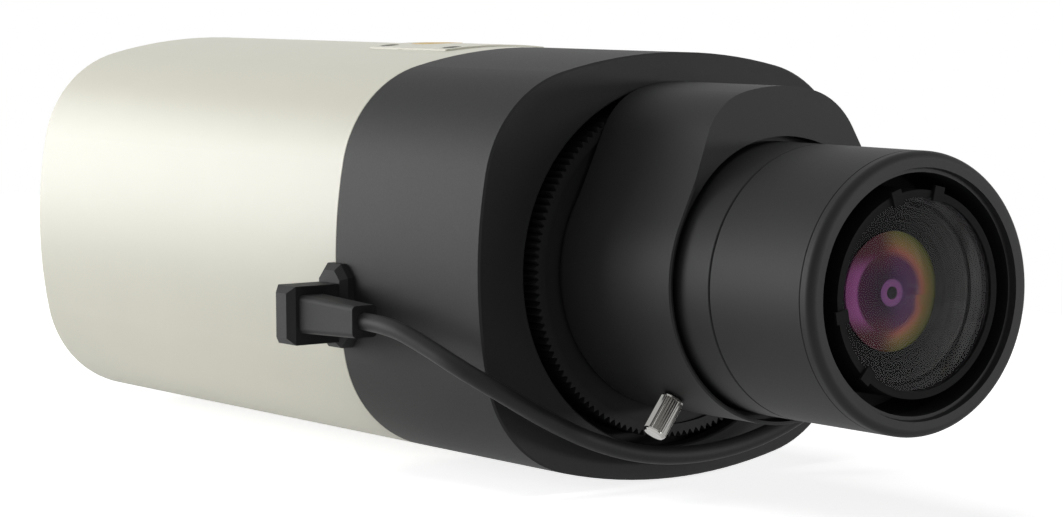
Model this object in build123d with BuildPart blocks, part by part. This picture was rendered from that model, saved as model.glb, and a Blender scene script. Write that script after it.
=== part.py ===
"""Security box camera with a manual zoom, auto iris lens. Millimetres, +Z up.

The body is a straight extrusion of one outline: four long arcs with rounded corners.
A black bezel closes its front, a panel with the sockets closes its back, and the lens
is turned about one axis that points along -Y. A depth is measured along that axis from
the bezel's front face: positive into the body, negative towards the front of the lens.
The origin is the mouth of the tripod socket in the top of the body.
"""
import os
from math import acos, cos, degrees, radians, sin, tan

from build123d import *

os.makedirs("parts", exist_ok=True)

# Fits between pieces
running_fit = 0.05
slip_fit = 0.1
cut_overlap = 1.0

# Body outline, shell and front opening
body_width = 73.0
body_height = 66.6
body_length = 145.0
side_radius = 80.8
crown_radius = 86.0
corner_radius = 19.1
wall = 2.2
bezel_length = 40.6
bezel_front_wall = 2.5
rim_chamfer = 0.3
seam_chamfer = 0.1
opening_chamfer = 0.25
rear_rounding = 1.2
spigot_length = 5.0
spigot_wall = 1.6
opening_radius = 28.2
bulkhead_depth = 8.0
bulkhead_thickness = 2.5
collar_width = 2.6
collar_clearance = 0.3
bezel_screw_x = 18.0
bezel_screw_radius = 1.0
bezel_screw_head_radius = 1.9
bezel_screw_head = 0.9
bezel_screw_sunk = 0.2
bezel_screw_length = 3.6

# Mount plates, top and bottom
socket_setback = 66.0
plate_proud = 0.3
plate_width = 20.0
plate_gap = 2.4
plate_length = 24.5
plate_corner_radius = 0.8
plate_thickness = 2.4
pad_margin = 2.0
pad_thickness = 2.4
insert_radius = 4.4
insert_depth = 9.0
tripod_radius = 2.6
tripod_depth = 8.0
plate_screw_radius = 1.6
plate_screw_head = 0.8
plate_screw_sunk = 0.1
plate_screw_length = 4.2
plate_screw_inset = 2.8

# Lens mount, back focus ring and sensor carriage
mount_thread_radius = 12.7
mount_hub_radius = 19.0
mount_hub_length = 6.5
mount_chamfer = 0.3
flange_focal_distance = 12.526
tooth_count = 140
tooth_tip_radius = 26.7
tooth_height = 0.8
tooth_root = 0.2
ring_rim_width = 2.0
ring_rim_front = -0.5
ring_face_depth = 0.3
ring_flange_back = 5.0
ring_skirt_wall = 1.9
ring_skirt_back = 20.0
post_radius = 1.5
post_offset = 16.0
post_count = 3
sensor_frame_depth = 22.0
sensor_frame_thickness = 2.0
frame_boss_inset_x = 12.5
frame_boss_inset_z = 13.3
frame_boss_radius = 3.0
frame_window_width = 18.0
frame_window_height = 14.0
frame_window_corner = 2.0
frame_screw_length = 6.0
sensor_width = 14.0
sensor_height = 11.0
sensor_thickness = 1.8
sensor_chamfer = 0.3
holder_front = 11.9
sensor_board_side = 21.0
sensor_board_corner = 1.5
board_thickness = 1.2
carriage_width = 24.0
carriage_height = 11.0
carriage_thickness = 1.5
carriage_corner = 1.0
filter_travel = 11.5
filter_width = 9.6
filter_height = 8.4
filter_thickness = 0.9
filter_sunk = 0.2
rail_width = 1.0
rail_length = 22.0

# Lens base and its hump for the iris motor
base_radius = 21.9
hump_radius = 28.8
flank_lean = 25.0
hump_corner_radius = 10.5
hump_lean = 8.0
hump_lean_height = 14.0
base_length = 28.0
hump_back = 1.0
notch_clearance = 0.4
base_foot_step = 0.4
base_edge_chamfer = 0.25
recess_radius = 21.35
recess_depth = 4.0
skirt_bore_radius = 17.05
web_depth = 11.0
rear_bore_radius = 11.0
thread_spigot_length = 4.5
motor_width = 16.0
motor_height = 5.8
motor_length = 19.0
motor_axis_height = 22.9
motor_cover_thickness = 1.2
lever_gap_half_width = 4.2

# Barrel
barrel_radius = 20.5
guide_bore_radius = 14.0
guide_wall = 1.35
guide_front = 44.5
guide_notch_length = 4.2
housing_notch_length = 2.2
lever_notch_tall = 4.0
ring_chamfer = 0.15
zoom_ring_front = 35.4
zoom_ring_back = 24.4
zoom_skirt_back = 15.6
ring_gap = 0.2
focus_ring_front = 56.0
focus_web_front = 44.3
focus_bore_radius = 17.9
trim_gap = 0.1
barrel_front = 58.3
trim_edge_radius = 1.2
trim_face_inner_radius = 18.15
trim_bead_radius = 17.95
trim_throat_radius = 17.45
trim_throat_depth = 0.9
trim_spigot_length = 3.0

# Front lens cell and its glass
cell_front = 57.6
cell_radius = 14.96
cell_bore_radius = 13.9
cell_step = 48.5
cell_shoulder = 1.2
cell_back = 28.0
cell_rear_bore_radius = 12.4
tab_angles = (76.5, 107.0, 189.0, 228.5)
tab_width = 1.8
tab_proud = 0.75
tab_thickness = 0.5
front_glass_edge = 57.1
front_glass_crown = 0.6
front_glass_thickness = 2.2
front_glass_hollow = 0.6
baffle_steps = 4
baffle_lip = 0.4
baffle_front = 53.6
baffle_back = 50.4
second_glass_radius = 8.8
second_glass_front = 52.4
second_glass_sag = 1.6
second_glass_thickness = 3.4

# Iris and rear lens cell
iris_front = 15.2
iris_wall = 0.6
iris_aperture_radius = 6.5
iris_pocket_radius = 13.4
blade_thickness = 0.35
blade_half_width = 8.0
blade_height = 8.5
blade_notch = 4.0
blade_overlap = 2.0
front_blade_depth = 14.0
rear_blade_depth = 13.3
lever_depth = 12.5
lever_thickness = 0.6
lever_width = 2.4
lever_reach = 11.5
lever_pin_radius = 0.6
rear_cell_front = 9.5
rear_cell_length = 7.5
rear_cell_wall = 2.2
rear_cell_lip = 1.0
rear_glass_sag = 1.2
rear_glass_thickness = 3.0

# Zoom lock screw, in the lower left of the lens base
screw_angle = 36.0
screw_depth = 17.2
screw_shank_radius = 1.0
screw_head_radius = 1.8
screw_head_gap = 0.15
screw_tip_gap = 0.1
screw_top_radius = 28.4
screw_chamfer = 0.3

# Iris socket in the side, its plug and cable
boss_ahead = 1.1
boss_height = -6.9
boss_length = 8.1
boss_tall = 13.4
boss_corner = 2.1
boss_proud = 2.0
boss_bevel = 1.0
boss_root = 2.0
neck_length = 6.0
neck_tall = 11.0
neck_back_x = -28.0
neck_overlap = 0.5
pin_count = 4
pin_pitch = 2.0
pin_radius = 0.4
pin_length = 3.5
plug_face_x = -47.5
plug_length = 5.3
plug_tall = 9.3
plug_centre_height = -7.85
plug_ahead = 1.25
plug_chamfer = 1.1
sleeve_ahead = 19.2
sleeve_root = 0.5
sleeve_outer_x = -45.9
sleeve_inner_x = -40.7
sleeve_tall_back = 6.1
sleeve_tall_front = 5.0
sleeve_taper = 0.35
sleeve_edge = 0.8
cable_radius = 1.4
cable_height = -7.6
relief_depth = -18.5
relief_foot = (17.5, 14.5)
relief_tilt = 25.0
relief_length = 6.0
relief_root_length = 3.0
relief_root_radius = 2.7
relief_tip_radius = 1.9
approach_length = 9.5
bend_share = 0.45

# Boards inside
main_board_inset = 9.5
main_board_front = 30.0
main_board_height = -12.4
board_boss_inset = 4.0
board_boss_depths = (50.0, 120.0)
board_boss_radius = 3.0
board_screw_radius = 1.25
board_screw_length = 8.0
board_screw_hole = 10.0
pan_head_radius = 2.4
pan_head_height = 1.4
processor_side = 19.0
processor_height = 1.6
memory_width = 9.0
memory_length = 12.0
memory_spots = ((0.0, -27.0), (-14.0, -27.0))
coil_radius = 5.0
coil_spot = (12.0, 27.0)
heat_sink_side = 32.0
heat_sink_depth = 74.0
heat_sink_height = 12.0
heat_sink_base = 2.5
fin_count = 7
fin_thickness = 1.4
rear_board_inset = 5.5
rear_board_thickness = 1.6

# Rear panel and what stands in it: places are (x, height)
panel_recess = 1.5
panel_thickness = 2.0
panel_screw_length = 5.0
panel_screw_hole = 6.0
lug_inset_x = 10.9
lug_inset_z = 10.7
lug_radius = 3.6
lug_length = 8.0
standoff_inset_x = 8.5
standoff_inset_z = 9.8
standoff_drop = 12.0
standoff_radius = 2.6
standoff_length = 12.9
jack_place = (-16.0, -10.0)
jack_width = 16.0
jack_tall = 13.4
jack_proud = 0.7
jack_mouth_width = 11.8
jack_mouth_tall = 8.0
jack_mouth_depth = 12.5
jack_latch_width = 6.2
jack_latch_tall = 2.2
jack_mouth_rise = 0.8
video_place = (-16.0, 15.0)
video_barrel_radius = 4.8
video_barrel_length = 11.0
video_bore_radius = 4.05
video_bore_depth = 8.5
video_flange_radius = 6.5
video_flange_thickness = 1.6
video_lug_radius = 1.0
video_lug_reach = 0.75
video_lug_setback = 4.0
insulator_radius = 2.4
insulator_sunk = 3.0
contact_radius = 1.0
contact_sunk = 2.6
contact_bore_radius = 0.5
contact_bore_depth = 3.0
power_place = (13.0, -17.0)
power_poles = 2
alarm_place = (10.5, -4.0)
alarm_poles = 4
terminal_pitch = 3.8
terminal_tall = 9.0
terminal_margin = 1.4
terminal_proud = 2.2
wire_hole_radius = 1.35
wire_hole_depth = 7.0
terminal_screw_radius = 1.2
terminal_screw_length = 2.5
terminal_screw_sunk = 0.5
audio_places = ((4.0, 14.0), (15.5, 14.0))
audio_nut_radius = 3.9
audio_bore_radius = 1.8
audio_bore_depth = 13.0
audio_collar_radius = 3.0
audio_proud = 1.6
card_place = (-16.0, 1.5)
card_width = 13.6
card_tall = 3.4
card_mouth_width = 11.4
card_mouth_tall = 1.5
card_depth = 12.0
button_place = (25.0, 6.5)
button_radius = 1.6
button_flange_radius = 2.2
button_flange_thickness = 1.0
button_sunk = 0.3
button_travel = 0.6
switch_side = 6.0
switch_height = 3.0
light_places = ((25.0, 0.5), (25.0, -4.0))
light_radius = 1.0
light_proud = 0.3

# The lens axis passes through the middle of the body's section
front_y = -socket_setback
axis_z = -(body_height / 2 + plate_proud)


def at(x, depth, height):
    """A point given from the lens axis and the bezel's face, in the model's frame."""
    return (x, front_y + depth, axis_z + height)


def across(depth):
    """The plane square to the lens axis: sketch x is +X, sketch y is +Z, and it extrudes forwards."""
    return Plane(origin=at(0, depth, 0), x_dir=(1, 0, 0), z_dir=(0, -1, 0))


def level(depth, height, up=1):
    """The plane square to Z at a depth and a height. It faces up, or down where up is -1."""
    return Plane(at(0, depth, height), x_dir=(1, 0, 0), z_dir=(0, 0, up))


# Turned pieces are drawn as half sections: sketch x is the radius and sketch y the depth
half_section = Plane(origin=at(0, 0, 0), x_dir=(1, 0, 0), z_dir=(0, 0, 1))
lens_axis = Axis(at(0, 0, 0), (0, 1, 0))


def band(inner, outer, front, back):
    """One rectangle of a half section, between two radii and two depths."""
    with Locations(((inner + outer) / 2, (front + back) / 2)):
        Rectangle(outer - inner, back - front)


def body_outline(depth, inset=0.0):
    """The body's outline, drawn at a depth and moved in by an inset."""
    half_width = body_width / 2 - inset
    half_height = body_height / 2 - inset
    side = side_radius - inset
    crown = crown_radius - inset
    with BuildSketch(across(depth)) as outline:
        with Locations((half_width - side, 0)):
            Circle(side)
        with Locations((side - half_width, 0)):
            Circle(side, mode=Mode.INTERSECT)
        with Locations((0, half_height - crown)):
            Circle(crown, mode=Mode.INTERSECT)
        with Locations((0, crown - half_height)):
            Circle(crown, mode=Mode.INTERSECT)
        fillet(outline.vertices(), radius=corner_radius - inset)
    return outline.sketch


def hole(place, radius, depth, length):
    """Cuts a round hole square to the lens axis, from a depth forwards."""
    with BuildSketch(across(depth)) as disc:
        with Locations(place):
            Circle(radius)
    extrude(disc.sketch, amount=length, mode=Mode.SUBTRACT)


def mirrored(x, height):
    """Four spots, at a distance either side of the axis and above and below it."""
    return [(i * x, k * height) for i in (1, -1) for k in (1, -1)]


# Places that follow the body's size
frame_spots = mirrored(body_width / 2 - frame_boss_inset_x, body_height / 2 - frame_boss_inset_z)
lug_spots = mirrored(body_width / 2 - lug_inset_x, body_height / 2 - lug_inset_z)
board_half_width = body_width / 2 - main_board_inset
board_boss_x = board_half_width - board_boss_inset
board_spots = [(i * board_boss_x, depth) for i in (-1, 1) for depth in board_boss_depths]
standoff_x = body_width / 2 - standoff_inset_x
standoff_z = body_height / 2 - standoff_inset_z
standoff_spots = ((0, standoff_z), (0, -standoff_z), (-standoff_x, 0), (standoff_x, -standoff_drop))
sensor_frame_back = sensor_frame_depth + sensor_frame_thickness
panel_depth = body_length - panel_recess
panel_front = panel_depth - panel_thickness
rear_board_back = panel_front - standoff_length
rear_board_depth = rear_board_back - rear_board_thickness
boss_depth = bezel_length - boss_ahead
plug_centre_depth = bezel_length - plug_ahead
sleeve_front = bezel_length - sleeve_ahead
cavity_inset = wall + slip_fit + spigot_wall
skirt_inner = mount_hub_radius + running_fit
skirt_outer = skirt_inner + ring_skirt_wall
bulkhead_bore = skirt_outer + running_fit
bulkhead_back = bulkhead_depth + bulkhead_thickness

# Openings that two or more pieces share
window_length = neck_length + 2 * slip_fit
window_tall = neck_tall + 2 * slip_fit
crown_z = body_height / 2
plate_top = crown_z + plate_proud
plate_front = bezel_length + spigot_length + plate_gap
plate_back = plate_front + plate_length
plate_middle = (plate_front + plate_back) / 2
plate_floor = plate_top - plate_thickness
pad_floor = plate_floor - pad_thickness
plate_screw_x = plate_width / 2 - plate_screw_inset
plate_screw_depths = (plate_front + plate_screw_inset, plate_back - plate_screw_inset)
bezel_screw_depth = bezel_length + spigot_length / 2


def crown_height(x, inset=0.0):
    """Height of the crown over the lens axis, at a distance x from the middle."""
    crown = crown_radius - inset
    return body_height / 2 - inset - crown + (crown**2 - x**2) ** 0.5


# Front bezel: a deep cap with a round opening, a bulkhead for the lens mount and a spigot
with BuildPart() as front_bezel:
    extrude(body_outline(bezel_length), amount=bezel_length)
    rim = front_bezel.faces().sort_by(Axis.Y)[0].edges()
    chamfer(rim, rim_chamfer)
    seam = front_bezel.faces().sort_by(Axis.Y)[-1].edges()
    chamfer(seam, seam_chamfer)
    extrude(body_outline(bezel_length + spigot_length, wall + slip_fit), amount=spigot_length)
    cavity_length = bezel_length + spigot_length - bezel_front_wall
    extrude(
        body_outline(bezel_length + spigot_length, cavity_inset),
        amount=cavity_length,
        mode=Mode.SUBTRACT,
    )
    extrude(body_outline(bulkhead_back, cavity_inset - slip_fit), amount=bulkhead_thickness)
    with BuildSketch(half_section):
        collar_front = ring_flange_back + collar_clearance
        band(bulkhead_bore, bulkhead_bore + collar_width, collar_front, bulkhead_back)
    revolve(axis=lens_axis)
    hole((0, 0), bulkhead_bore, bulkhead_back, bulkhead_back)
    hole((0, 0), opening_radius, bezel_front_wall, bezel_front_wall)
    front_circles = front_bezel.edges().filter_by(GeomType.CIRCLE).group_by(Axis.Y)[0]
    chamfer(front_circles.filter_by(lambda edge: abs(edge.radius - opening_radius) < 0.01), opening_chamfer)
    with BuildSketch(across(sensor_frame_depth)):
        with Locations(*frame_spots):
            Circle(frame_boss_radius)
            Circle(board_screw_radius, mode=Mode.SUBTRACT)
    extrude(amount=sensor_frame_depth - bulkhead_back)
    with Locations(at(-body_width / 2, boss_depth, boss_height)):
        Box(body_width / 2, window_length, window_tall, mode=Mode.SUBTRACT)
    with BuildSketch(level(bezel_screw_depth, 0, -1)):
        with Locations((-bezel_screw_x, 0), (bezel_screw_x, 0)):
            Circle(bezel_screw_radius)
    extrude(amount=body_height, mode=Mode.SUBTRACT)
front_bezel.part.label = "front_bezel"
export_step(front_bezel.part, "parts/front_bezel.step")

# Rear housing: the long sleeve, with pads for the mount plates, bosses and panel lugs
with BuildPart() as rear_housing:
    extrude(body_outline(body_length), amount=body_length - bezel_length)
    fillet(rear_housing.faces().sort_by(Axis.Y)[-1].edges(), radius=rear_rounding)
    chamfer(rear_housing.faces().sort_by(Axis.Y)[0].edges(), seam_chamfer)
    extrude(body_outline(body_length, wall), amount=body_length - bezel_length, mode=Mode.SUBTRACT)
    # The pads follow the crown outside and are flat inside
    for sign in (1, -1):
        with BuildSketch(across(plate_back + pad_margin)):
            with Locations((0, sign * (pad_floor + crown_z) / 2)):
                Rectangle(plate_width + 2 * pad_margin, crown_z - pad_floor)
        extrude(amount=plate_back + pad_margin - bezel_length - spigot_length - slip_fit)
    extrude(body_outline(body_length), amount=body_length - bezel_length, mode=Mode.INTERSECT)
    for sign in (1, -1):
        with BuildSketch(level(plate_middle, sign * plate_floor, sign)):
            RectangleRounded(plate_width, plate_length, plate_corner_radius)
        extrude(amount=plate_thickness, mode=Mode.SUBTRACT)
        with BuildSketch(level(socket_setback, sign * pad_floor, sign)):
            Circle(insert_radius + slip_fit)
        extrude(amount=pad_thickness, mode=Mode.SUBTRACT)
        for depth in plate_screw_depths:
            with BuildSketch(level(depth, sign * pad_floor, sign)):
                with Locations((-plate_screw_x, 0), (plate_screw_x, 0)):
                    Circle(screw_shank_radius)
            extrude(amount=pad_thickness, mode=Mode.SUBTRACT)
    # Board bosses rise from the floor, and panel lugs stand in the corners
    boss_floor = -crown_height(board_boss_x, wall) - wall / 3
    with BuildSketch(level(0, boss_floor)):
        with Locations(*board_spots):
            Circle(board_boss_radius)
    extrude(amount=main_board_height - board_thickness - boss_floor)
    with BuildSketch(level(0, main_board_height)):
        with Locations(*board_spots):
            Circle(board_screw_radius)
    extrude(amount=-board_screw_hole, mode=Mode.SUBTRACT)
    with BuildSketch(across(panel_front)):
        with Locations(*lug_spots):
            Circle(lug_radius)
    extrude(amount=lug_length)
    for spot in lug_spots:
        hole(spot, board_screw_radius, panel_front, panel_screw_hole)
    with Locations(at(-body_width / 2, boss_depth, boss_height)):
        Box(body_width / 2, window_length, window_tall, mode=Mode.SUBTRACT)
    # The two bezel screws sink into the underside
    screw_floor = -crown_height(bezel_screw_x) + bezel_screw_head
    with BuildSketch(level(bezel_screw_depth, 0, -1)):
        with Locations((-bezel_screw_x, 0), (bezel_screw_x, 0)):
            Circle(bezel_screw_radius)
    extrude(amount=body_height, mode=Mode.SUBTRACT)
    with BuildSketch(level(bezel_screw_depth, screw_floor, -1)):
        with Locations((-bezel_screw_x, 0), (bezel_screw_x, 0)):
            Circle(bezel_screw_head_radius + slip_fit)
    extrude(amount=wall + bezel_screw_head, mode=Mode.SUBTRACT)
rear_housing.part.label = "rear_housing"
export_step(rear_housing.part, "parts/rear_housing.step")

# Bezel screws: two short flat heads in the underside
with BuildPart() as bezel_screws:
    with BuildSketch(level(bezel_screw_depth, screw_floor, -1)):
        with Locations((-bezel_screw_x, 0), (bezel_screw_x, 0)):
            Circle(bezel_screw_head_radius)
    extrude(amount=bezel_screw_head - bezel_screw_sunk)
    with BuildSketch(level(bezel_screw_depth, screw_floor, 1)):
        with Locations((-bezel_screw_x, 0), (bezel_screw_x, 0)):
            Circle(bezel_screw_radius - running_fit)
    extrude(amount=bezel_screw_length)
bezel_screws.part.label = "bezel_screws"
export_step(bezel_screws.part, "parts/bezel_screws.step")

# Mount plates: thin crowned plates let into the top and the bottom
for sign, name in ((1, "top_mount_plate"), (-1, "bottom_mount_plate")):
    with BuildPart() as mount_plate:
        with BuildSketch(level(plate_middle, sign * plate_floor, sign)) as plate_sketch:
            Rectangle(plate_width - 2 * slip_fit, plate_length - 2 * slip_fit)
            fillet(plate_sketch.vertices(), radius=plate_corner_radius - slip_fit)
            with Locations((0, sign * (socket_setback - plate_middle))):
                Circle(insert_radius + slip_fit, mode=Mode.SUBTRACT)
        extrude(amount=plate_thickness)
        extrude(body_outline(plate_back, -plate_proud), amount=plate_length, mode=Mode.INTERSECT)
        for depth in plate_screw_depths:
            seat = crown_height(plate_screw_x, -plate_proud) - plate_screw_head
            with BuildSketch(level(depth, sign * seat, sign)):
                with Locations((-plate_screw_x, 0), (plate_screw_x, 0)):
                    Circle(plate_screw_radius + slip_fit)
            extrude(amount=plate_thickness, mode=Mode.SUBTRACT)
            with BuildSketch(level(depth, sign * plate_floor, sign)):
                with Locations((-plate_screw_x, 0), (plate_screw_x, 0)):
                    Circle(screw_shank_radius + slip_fit)
            extrude(amount=plate_thickness, mode=Mode.SUBTRACT)
    mount_plate.part.label = name
    export_step(mount_plate.part, f"parts/{name}.step")

# Tripod inserts: brass bushes with a blind thread, one in each plate
with BuildPart() as tripod_inserts:
    for sign in (1, -1):
        mouth = level(socket_setback, sign * plate_top, sign)
        with BuildSketch(mouth):
            Circle(insert_radius)
        extrude(amount=-insert_depth)
        with BuildSketch(mouth):
            Circle(tripod_radius)
        extrude(amount=-tripod_depth, mode=Mode.SUBTRACT)
tripod_inserts.part.label = "tripod_inserts"
export_step(tripod_inserts.part, "parts/tripod_inserts.step")

# Plate screws: small flat heads at the plates' corners
with BuildPart() as plate_screws:
    for sign in (1, -1):
        head_top = crown_height(plate_screw_x, -plate_proud) - plate_screw_sunk
        for depth in plate_screw_depths:
            spots = ((-plate_screw_x, 0), (plate_screw_x, 0))
            seat = crown_height(plate_screw_x, -plate_proud) - plate_screw_head
            with BuildSketch(level(depth, sign * seat, sign)):
                with Locations(*spots):
                    Circle(plate_screw_radius)
            extrude(amount=head_top - seat)
            with BuildSketch(level(depth, sign * seat, -sign)):
                with Locations(*spots):
                    Circle(screw_shank_radius - running_fit)
            extrude(amount=plate_screw_length - plate_screw_head)
plate_screws.part.label = "plate_screws"
export_step(plate_screws.part, "parts/plate_screws.step")

# Lens mount: the hub with the lens thread, carried on three posts
with BuildPart() as lens_mount:
    with BuildSketch(half_section):
        band(mount_thread_radius, mount_hub_radius, 0, mount_hub_length)
    revolve(axis=lens_axis)
    chamfer(lens_mount.edges().filter_by(GeomType.CIRCLE).group_by(Axis.Y)[0], mount_chamfer)
lens_mount.part.label = "lens_mount"
export_step(lens_mount.part, "parts/lens_mount.step")

# Guide posts: three ground pins between the hub and the sensor frame
with BuildPart() as guide_posts:
    with BuildSketch(across(sensor_frame_depth)):
        with PolarLocations(post_offset, post_count, start_angle=90):
            Circle(post_radius)
    extrude(amount=sensor_frame_depth - mount_hub_length)
guide_posts.part.label = "guide_posts"
export_step(guide_posts.part, "parts/guide_posts.step")

# Back focus ring: a fine-toothed rim, a flat flange and a skirt that carries the sensor holder
tooth_root_radius = tooth_tip_radius - tooth_height
with BuildPart() as back_focus_ring:
    with BuildSketch(across(ring_flange_back)):
        Circle(tooth_root_radius)
        tooth_half = tooth_root_radius * radians(180 / tooth_count)
        tooth = ((-tooth_root, -tooth_half), (tooth_height, 0), (-tooth_root, tooth_half))
        with PolarLocations(tooth_root_radius, tooth_count):
            Polygon(*tooth, align=None)
    extrude(amount=ring_flange_back - ring_rim_front)
    with BuildSketch(half_section):
        band(0, tooth_tip_radius - ring_rim_width, ring_rim_front, ring_face_depth)
        band(0, skirt_inner, ring_rim_front, ring_flange_back)
    revolve(axis=lens_axis, mode=Mode.SUBTRACT)
    with BuildSketch(half_section):
        band(skirt_inner, skirt_outer, ring_face_depth, ring_skirt_back)
    revolve(axis=lens_axis)
back_focus_ring.part.label = "back_focus_ring"
export_step(back_focus_ring.part, "parts/back_focus_ring.step")

# Sensor frame: a plate across the bezel that the posts stand on
with BuildPart() as sensor_frame:
    extrude(body_outline(sensor_frame_back, cavity_inset + slip_fit), amount=sensor_frame_thickness)
    with BuildSketch(across(sensor_frame_back)):
        RectangleRounded(frame_window_width, frame_window_height, frame_window_corner)
        with Locations(*frame_spots):
            Circle(board_screw_radius + slip_fit)
    extrude(amount=sensor_frame_thickness, mode=Mode.SUBTRACT)
    with Locations(at(-body_width / 2, boss_depth, boss_height)):
        Box(body_width / 2, window_length, window_tall, mode=Mode.SUBTRACT)
sensor_frame.part.label = "sensor_frame"
export_step(sensor_frame.part, "parts/sensor_frame.step")

# Frame screws: four pan heads into the bezel's bosses
with BuildPart() as frame_screws:
    with BuildSketch(across(sensor_frame_back + pan_head_height)):
        with Locations(*frame_spots):
            Circle(pan_head_radius)
    extrude(amount=pan_head_height)
    with BuildSketch(across(sensor_frame_back)):
        with Locations(*frame_spots):
            Circle(board_screw_radius - running_fit)
    extrude(amount=sensor_frame_thickness + frame_screw_length)
frame_screws.part.label = "frame_screws"
export_step(frame_screws.part, "parts/frame_screws.step")

# Sensor holder: a disc that slides on the posts, with a window and two rails for the filters
holder_back = flange_focal_distance + sensor_thickness
rail_height = carriage_height / 2 + slip_fit + rail_width / 2
carriage_back = holder_front - slip_fit
with BuildPart() as sensor_holder:
    with BuildSketch(across(holder_back)):
        Circle(mount_hub_radius)
        Rectangle(sensor_width + 2 * slip_fit, sensor_height + 2 * slip_fit, mode=Mode.SUBTRACT)
        with PolarLocations(post_offset, post_count, start_angle=90):
            Circle(post_radius + running_fit, mode=Mode.SUBTRACT)
    extrude(amount=holder_back - holder_front)
    with BuildSketch(across(holder_front)):
        with Locations((0, rail_height), (0, -rail_height)):
            Rectangle(rail_length, rail_width)
    extrude(amount=carriage_thickness)
sensor_holder.part.label = "sensor_holder"
export_step(sensor_holder.part, "parts/sensor_holder.step")

# Image sensor: the package, with its light-sensitive face at the flange distance
with BuildPart() as image_sensor:
    with BuildSketch(across(holder_back)):
        Rectangle(sensor_width, sensor_height)
    extrude(amount=sensor_thickness)
    chamfer(image_sensor.faces().sort_by(Axis.Y)[0].edges(), sensor_chamfer)
image_sensor.part.label = "image_sensor"
export_step(image_sensor.part, "parts/image_sensor.step")

# Sensor board: the small board behind the holder
with BuildPart() as sensor_board:
    with BuildSketch(across(holder_back + board_thickness)):
        RectangleRounded(sensor_board_side, sensor_board_side, sensor_board_corner)
    extrude(amount=board_thickness)
sensor_board.part.label = "sensor_board"
export_step(sensor_board.part, "parts/sensor_board.step")

# Filter carriage: a slide with two windows, the day filter in front of the sensor
with BuildPart() as filter_carriage:
    with BuildSketch(across(carriage_back)):
        with Locations((filter_travel / 2, 0)):
            RectangleRounded(carriage_width, carriage_height, carriage_corner)
        with Locations((0, 0), (filter_travel, 0)):
            Rectangle(filter_width, filter_height, mode=Mode.SUBTRACT)
    extrude(amount=carriage_thickness)
filter_carriage.part.label = "filter_carriage"
export_step(filter_carriage.part, "parts/filter_carriage.step")

# The two filters: infrared cut for the day, clear for the night
for name, place in (("ir_cut_filter", (0, 0)), ("clear_filter", (filter_travel, 0))):
    with BuildPart() as filter_glass:
        with BuildSketch(across(carriage_back - filter_sunk)):
            with Locations(place):
                Rectangle(filter_width - 2 * running_fit, filter_height - 2 * running_fit)
        extrude(amount=filter_thickness)
    filter_glass.part.label = name
    export_step(filter_glass.part, f"parts/{name}.step")

# Lens base: round below, with straight flanks that lean in to a crowned hump
hump_corner = flank_lean + degrees(acos(base_radius / hump_radius))
with BuildSketch(across(-hump_back)) as base_outline:
    with BuildLine():
        lower_arc = CenterArc((0, 0), base_radius, 180 - flank_lean, 180 + 2 * flank_lean)
        upper_arc = CenterArc((0, 0), hump_radius, hump_corner, 180 - 2 * hump_corner)
        Line(lower_arc @ 1, upper_arc @ 0)
        Line(upper_arc @ 1, lower_arc @ 0)
    make_face()
    fillet(base_outline.vertices().sort_by(Axis.Y)[-2:], radius=hump_corner_radius)

screw_direction = Vector(-sin(radians(screw_angle)), 0, -cos(radians(screw_angle)))


def screw_plane(radius):
    """The plane across the lock screw at a distance from the lens axis, facing outwards."""
    point = screw_direction * radius
    return Plane(at(point.X, -screw_depth, point.Z), x_dir=(0, 1, 0), z_dir=screw_direction)


motor_pocket_length = motor_length + motor_cover_thickness + slip_fit
with BuildPart() as lens_base:
    extrude(base_outline.sketch, amount=base_length - hump_back)
    # Above the lens axis the front face leans back
    with BuildSketch(Plane(at(0, 0, 0), x_dir=(0, 1, 0), z_dir=(1, 0, 0))):
        with BuildLine():
            lean_rise = hump_radius + cut_overlap - hump_lean_height
            lean_back = lean_rise * tan(radians(hump_lean))
            Polyline(
                (-base_length, hump_lean_height),
                (-base_length, hump_lean_height + lean_rise),
                (-base_length + lean_back, hump_lean_height + lean_rise),
                close=True,
            )
        make_face()
    extrude(amount=base_radius, both=True, mode=Mode.SUBTRACT)
    lower_front = lens_base.faces().sort_by(Axis.Y)[0]
    chamfer(lower_front.edges().filter_by(GeomType.CIRCLE), base_edge_chamfer)
    with BuildSketch(half_section):
        band(rear_bore_radius, base_radius - base_foot_step, -hump_back - cut_overlap, 0)
        band(rear_bore_radius, mount_thread_radius - slip_fit, 0, thread_spigot_length)
    revolve(axis=lens_axis)
    with BuildSketch(half_section):
        band(0, recess_radius, -base_length, -base_length + recess_depth)
        band(0, skirt_bore_radius, -base_length, -web_depth)
        band(0, rear_bore_radius, -web_depth, thread_spigot_length)
    revolve(axis=lens_axis, mode=Mode.SUBTRACT)
    with BuildSketch(across(-hump_back)):
        with Locations((0, motor_axis_height)):
            SlotOverall(motor_width + 2 * slip_fit, motor_height + 2 * slip_fit)
    extrude(amount=motor_pocket_length, mode=Mode.SUBTRACT)
    with Locations(at(0, -lever_depth, (skirt_bore_radius + motor_axis_height) / 2)):
        slot_height = motor_axis_height - skirt_bore_radius + cut_overlap
        Box(2 * lever_gap_half_width, 2 * lever_thickness, slot_height, mode=Mode.SUBTRACT)
    with BuildSketch(screw_plane(skirt_bore_radius - cut_overlap)):
        Circle(screw_shank_radius + running_fit)
    extrude(amount=base_radius, mode=Mode.SUBTRACT)
lens_base.part.label = "lens_base"
export_step(lens_base.part, "parts/lens_base.step")

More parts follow.
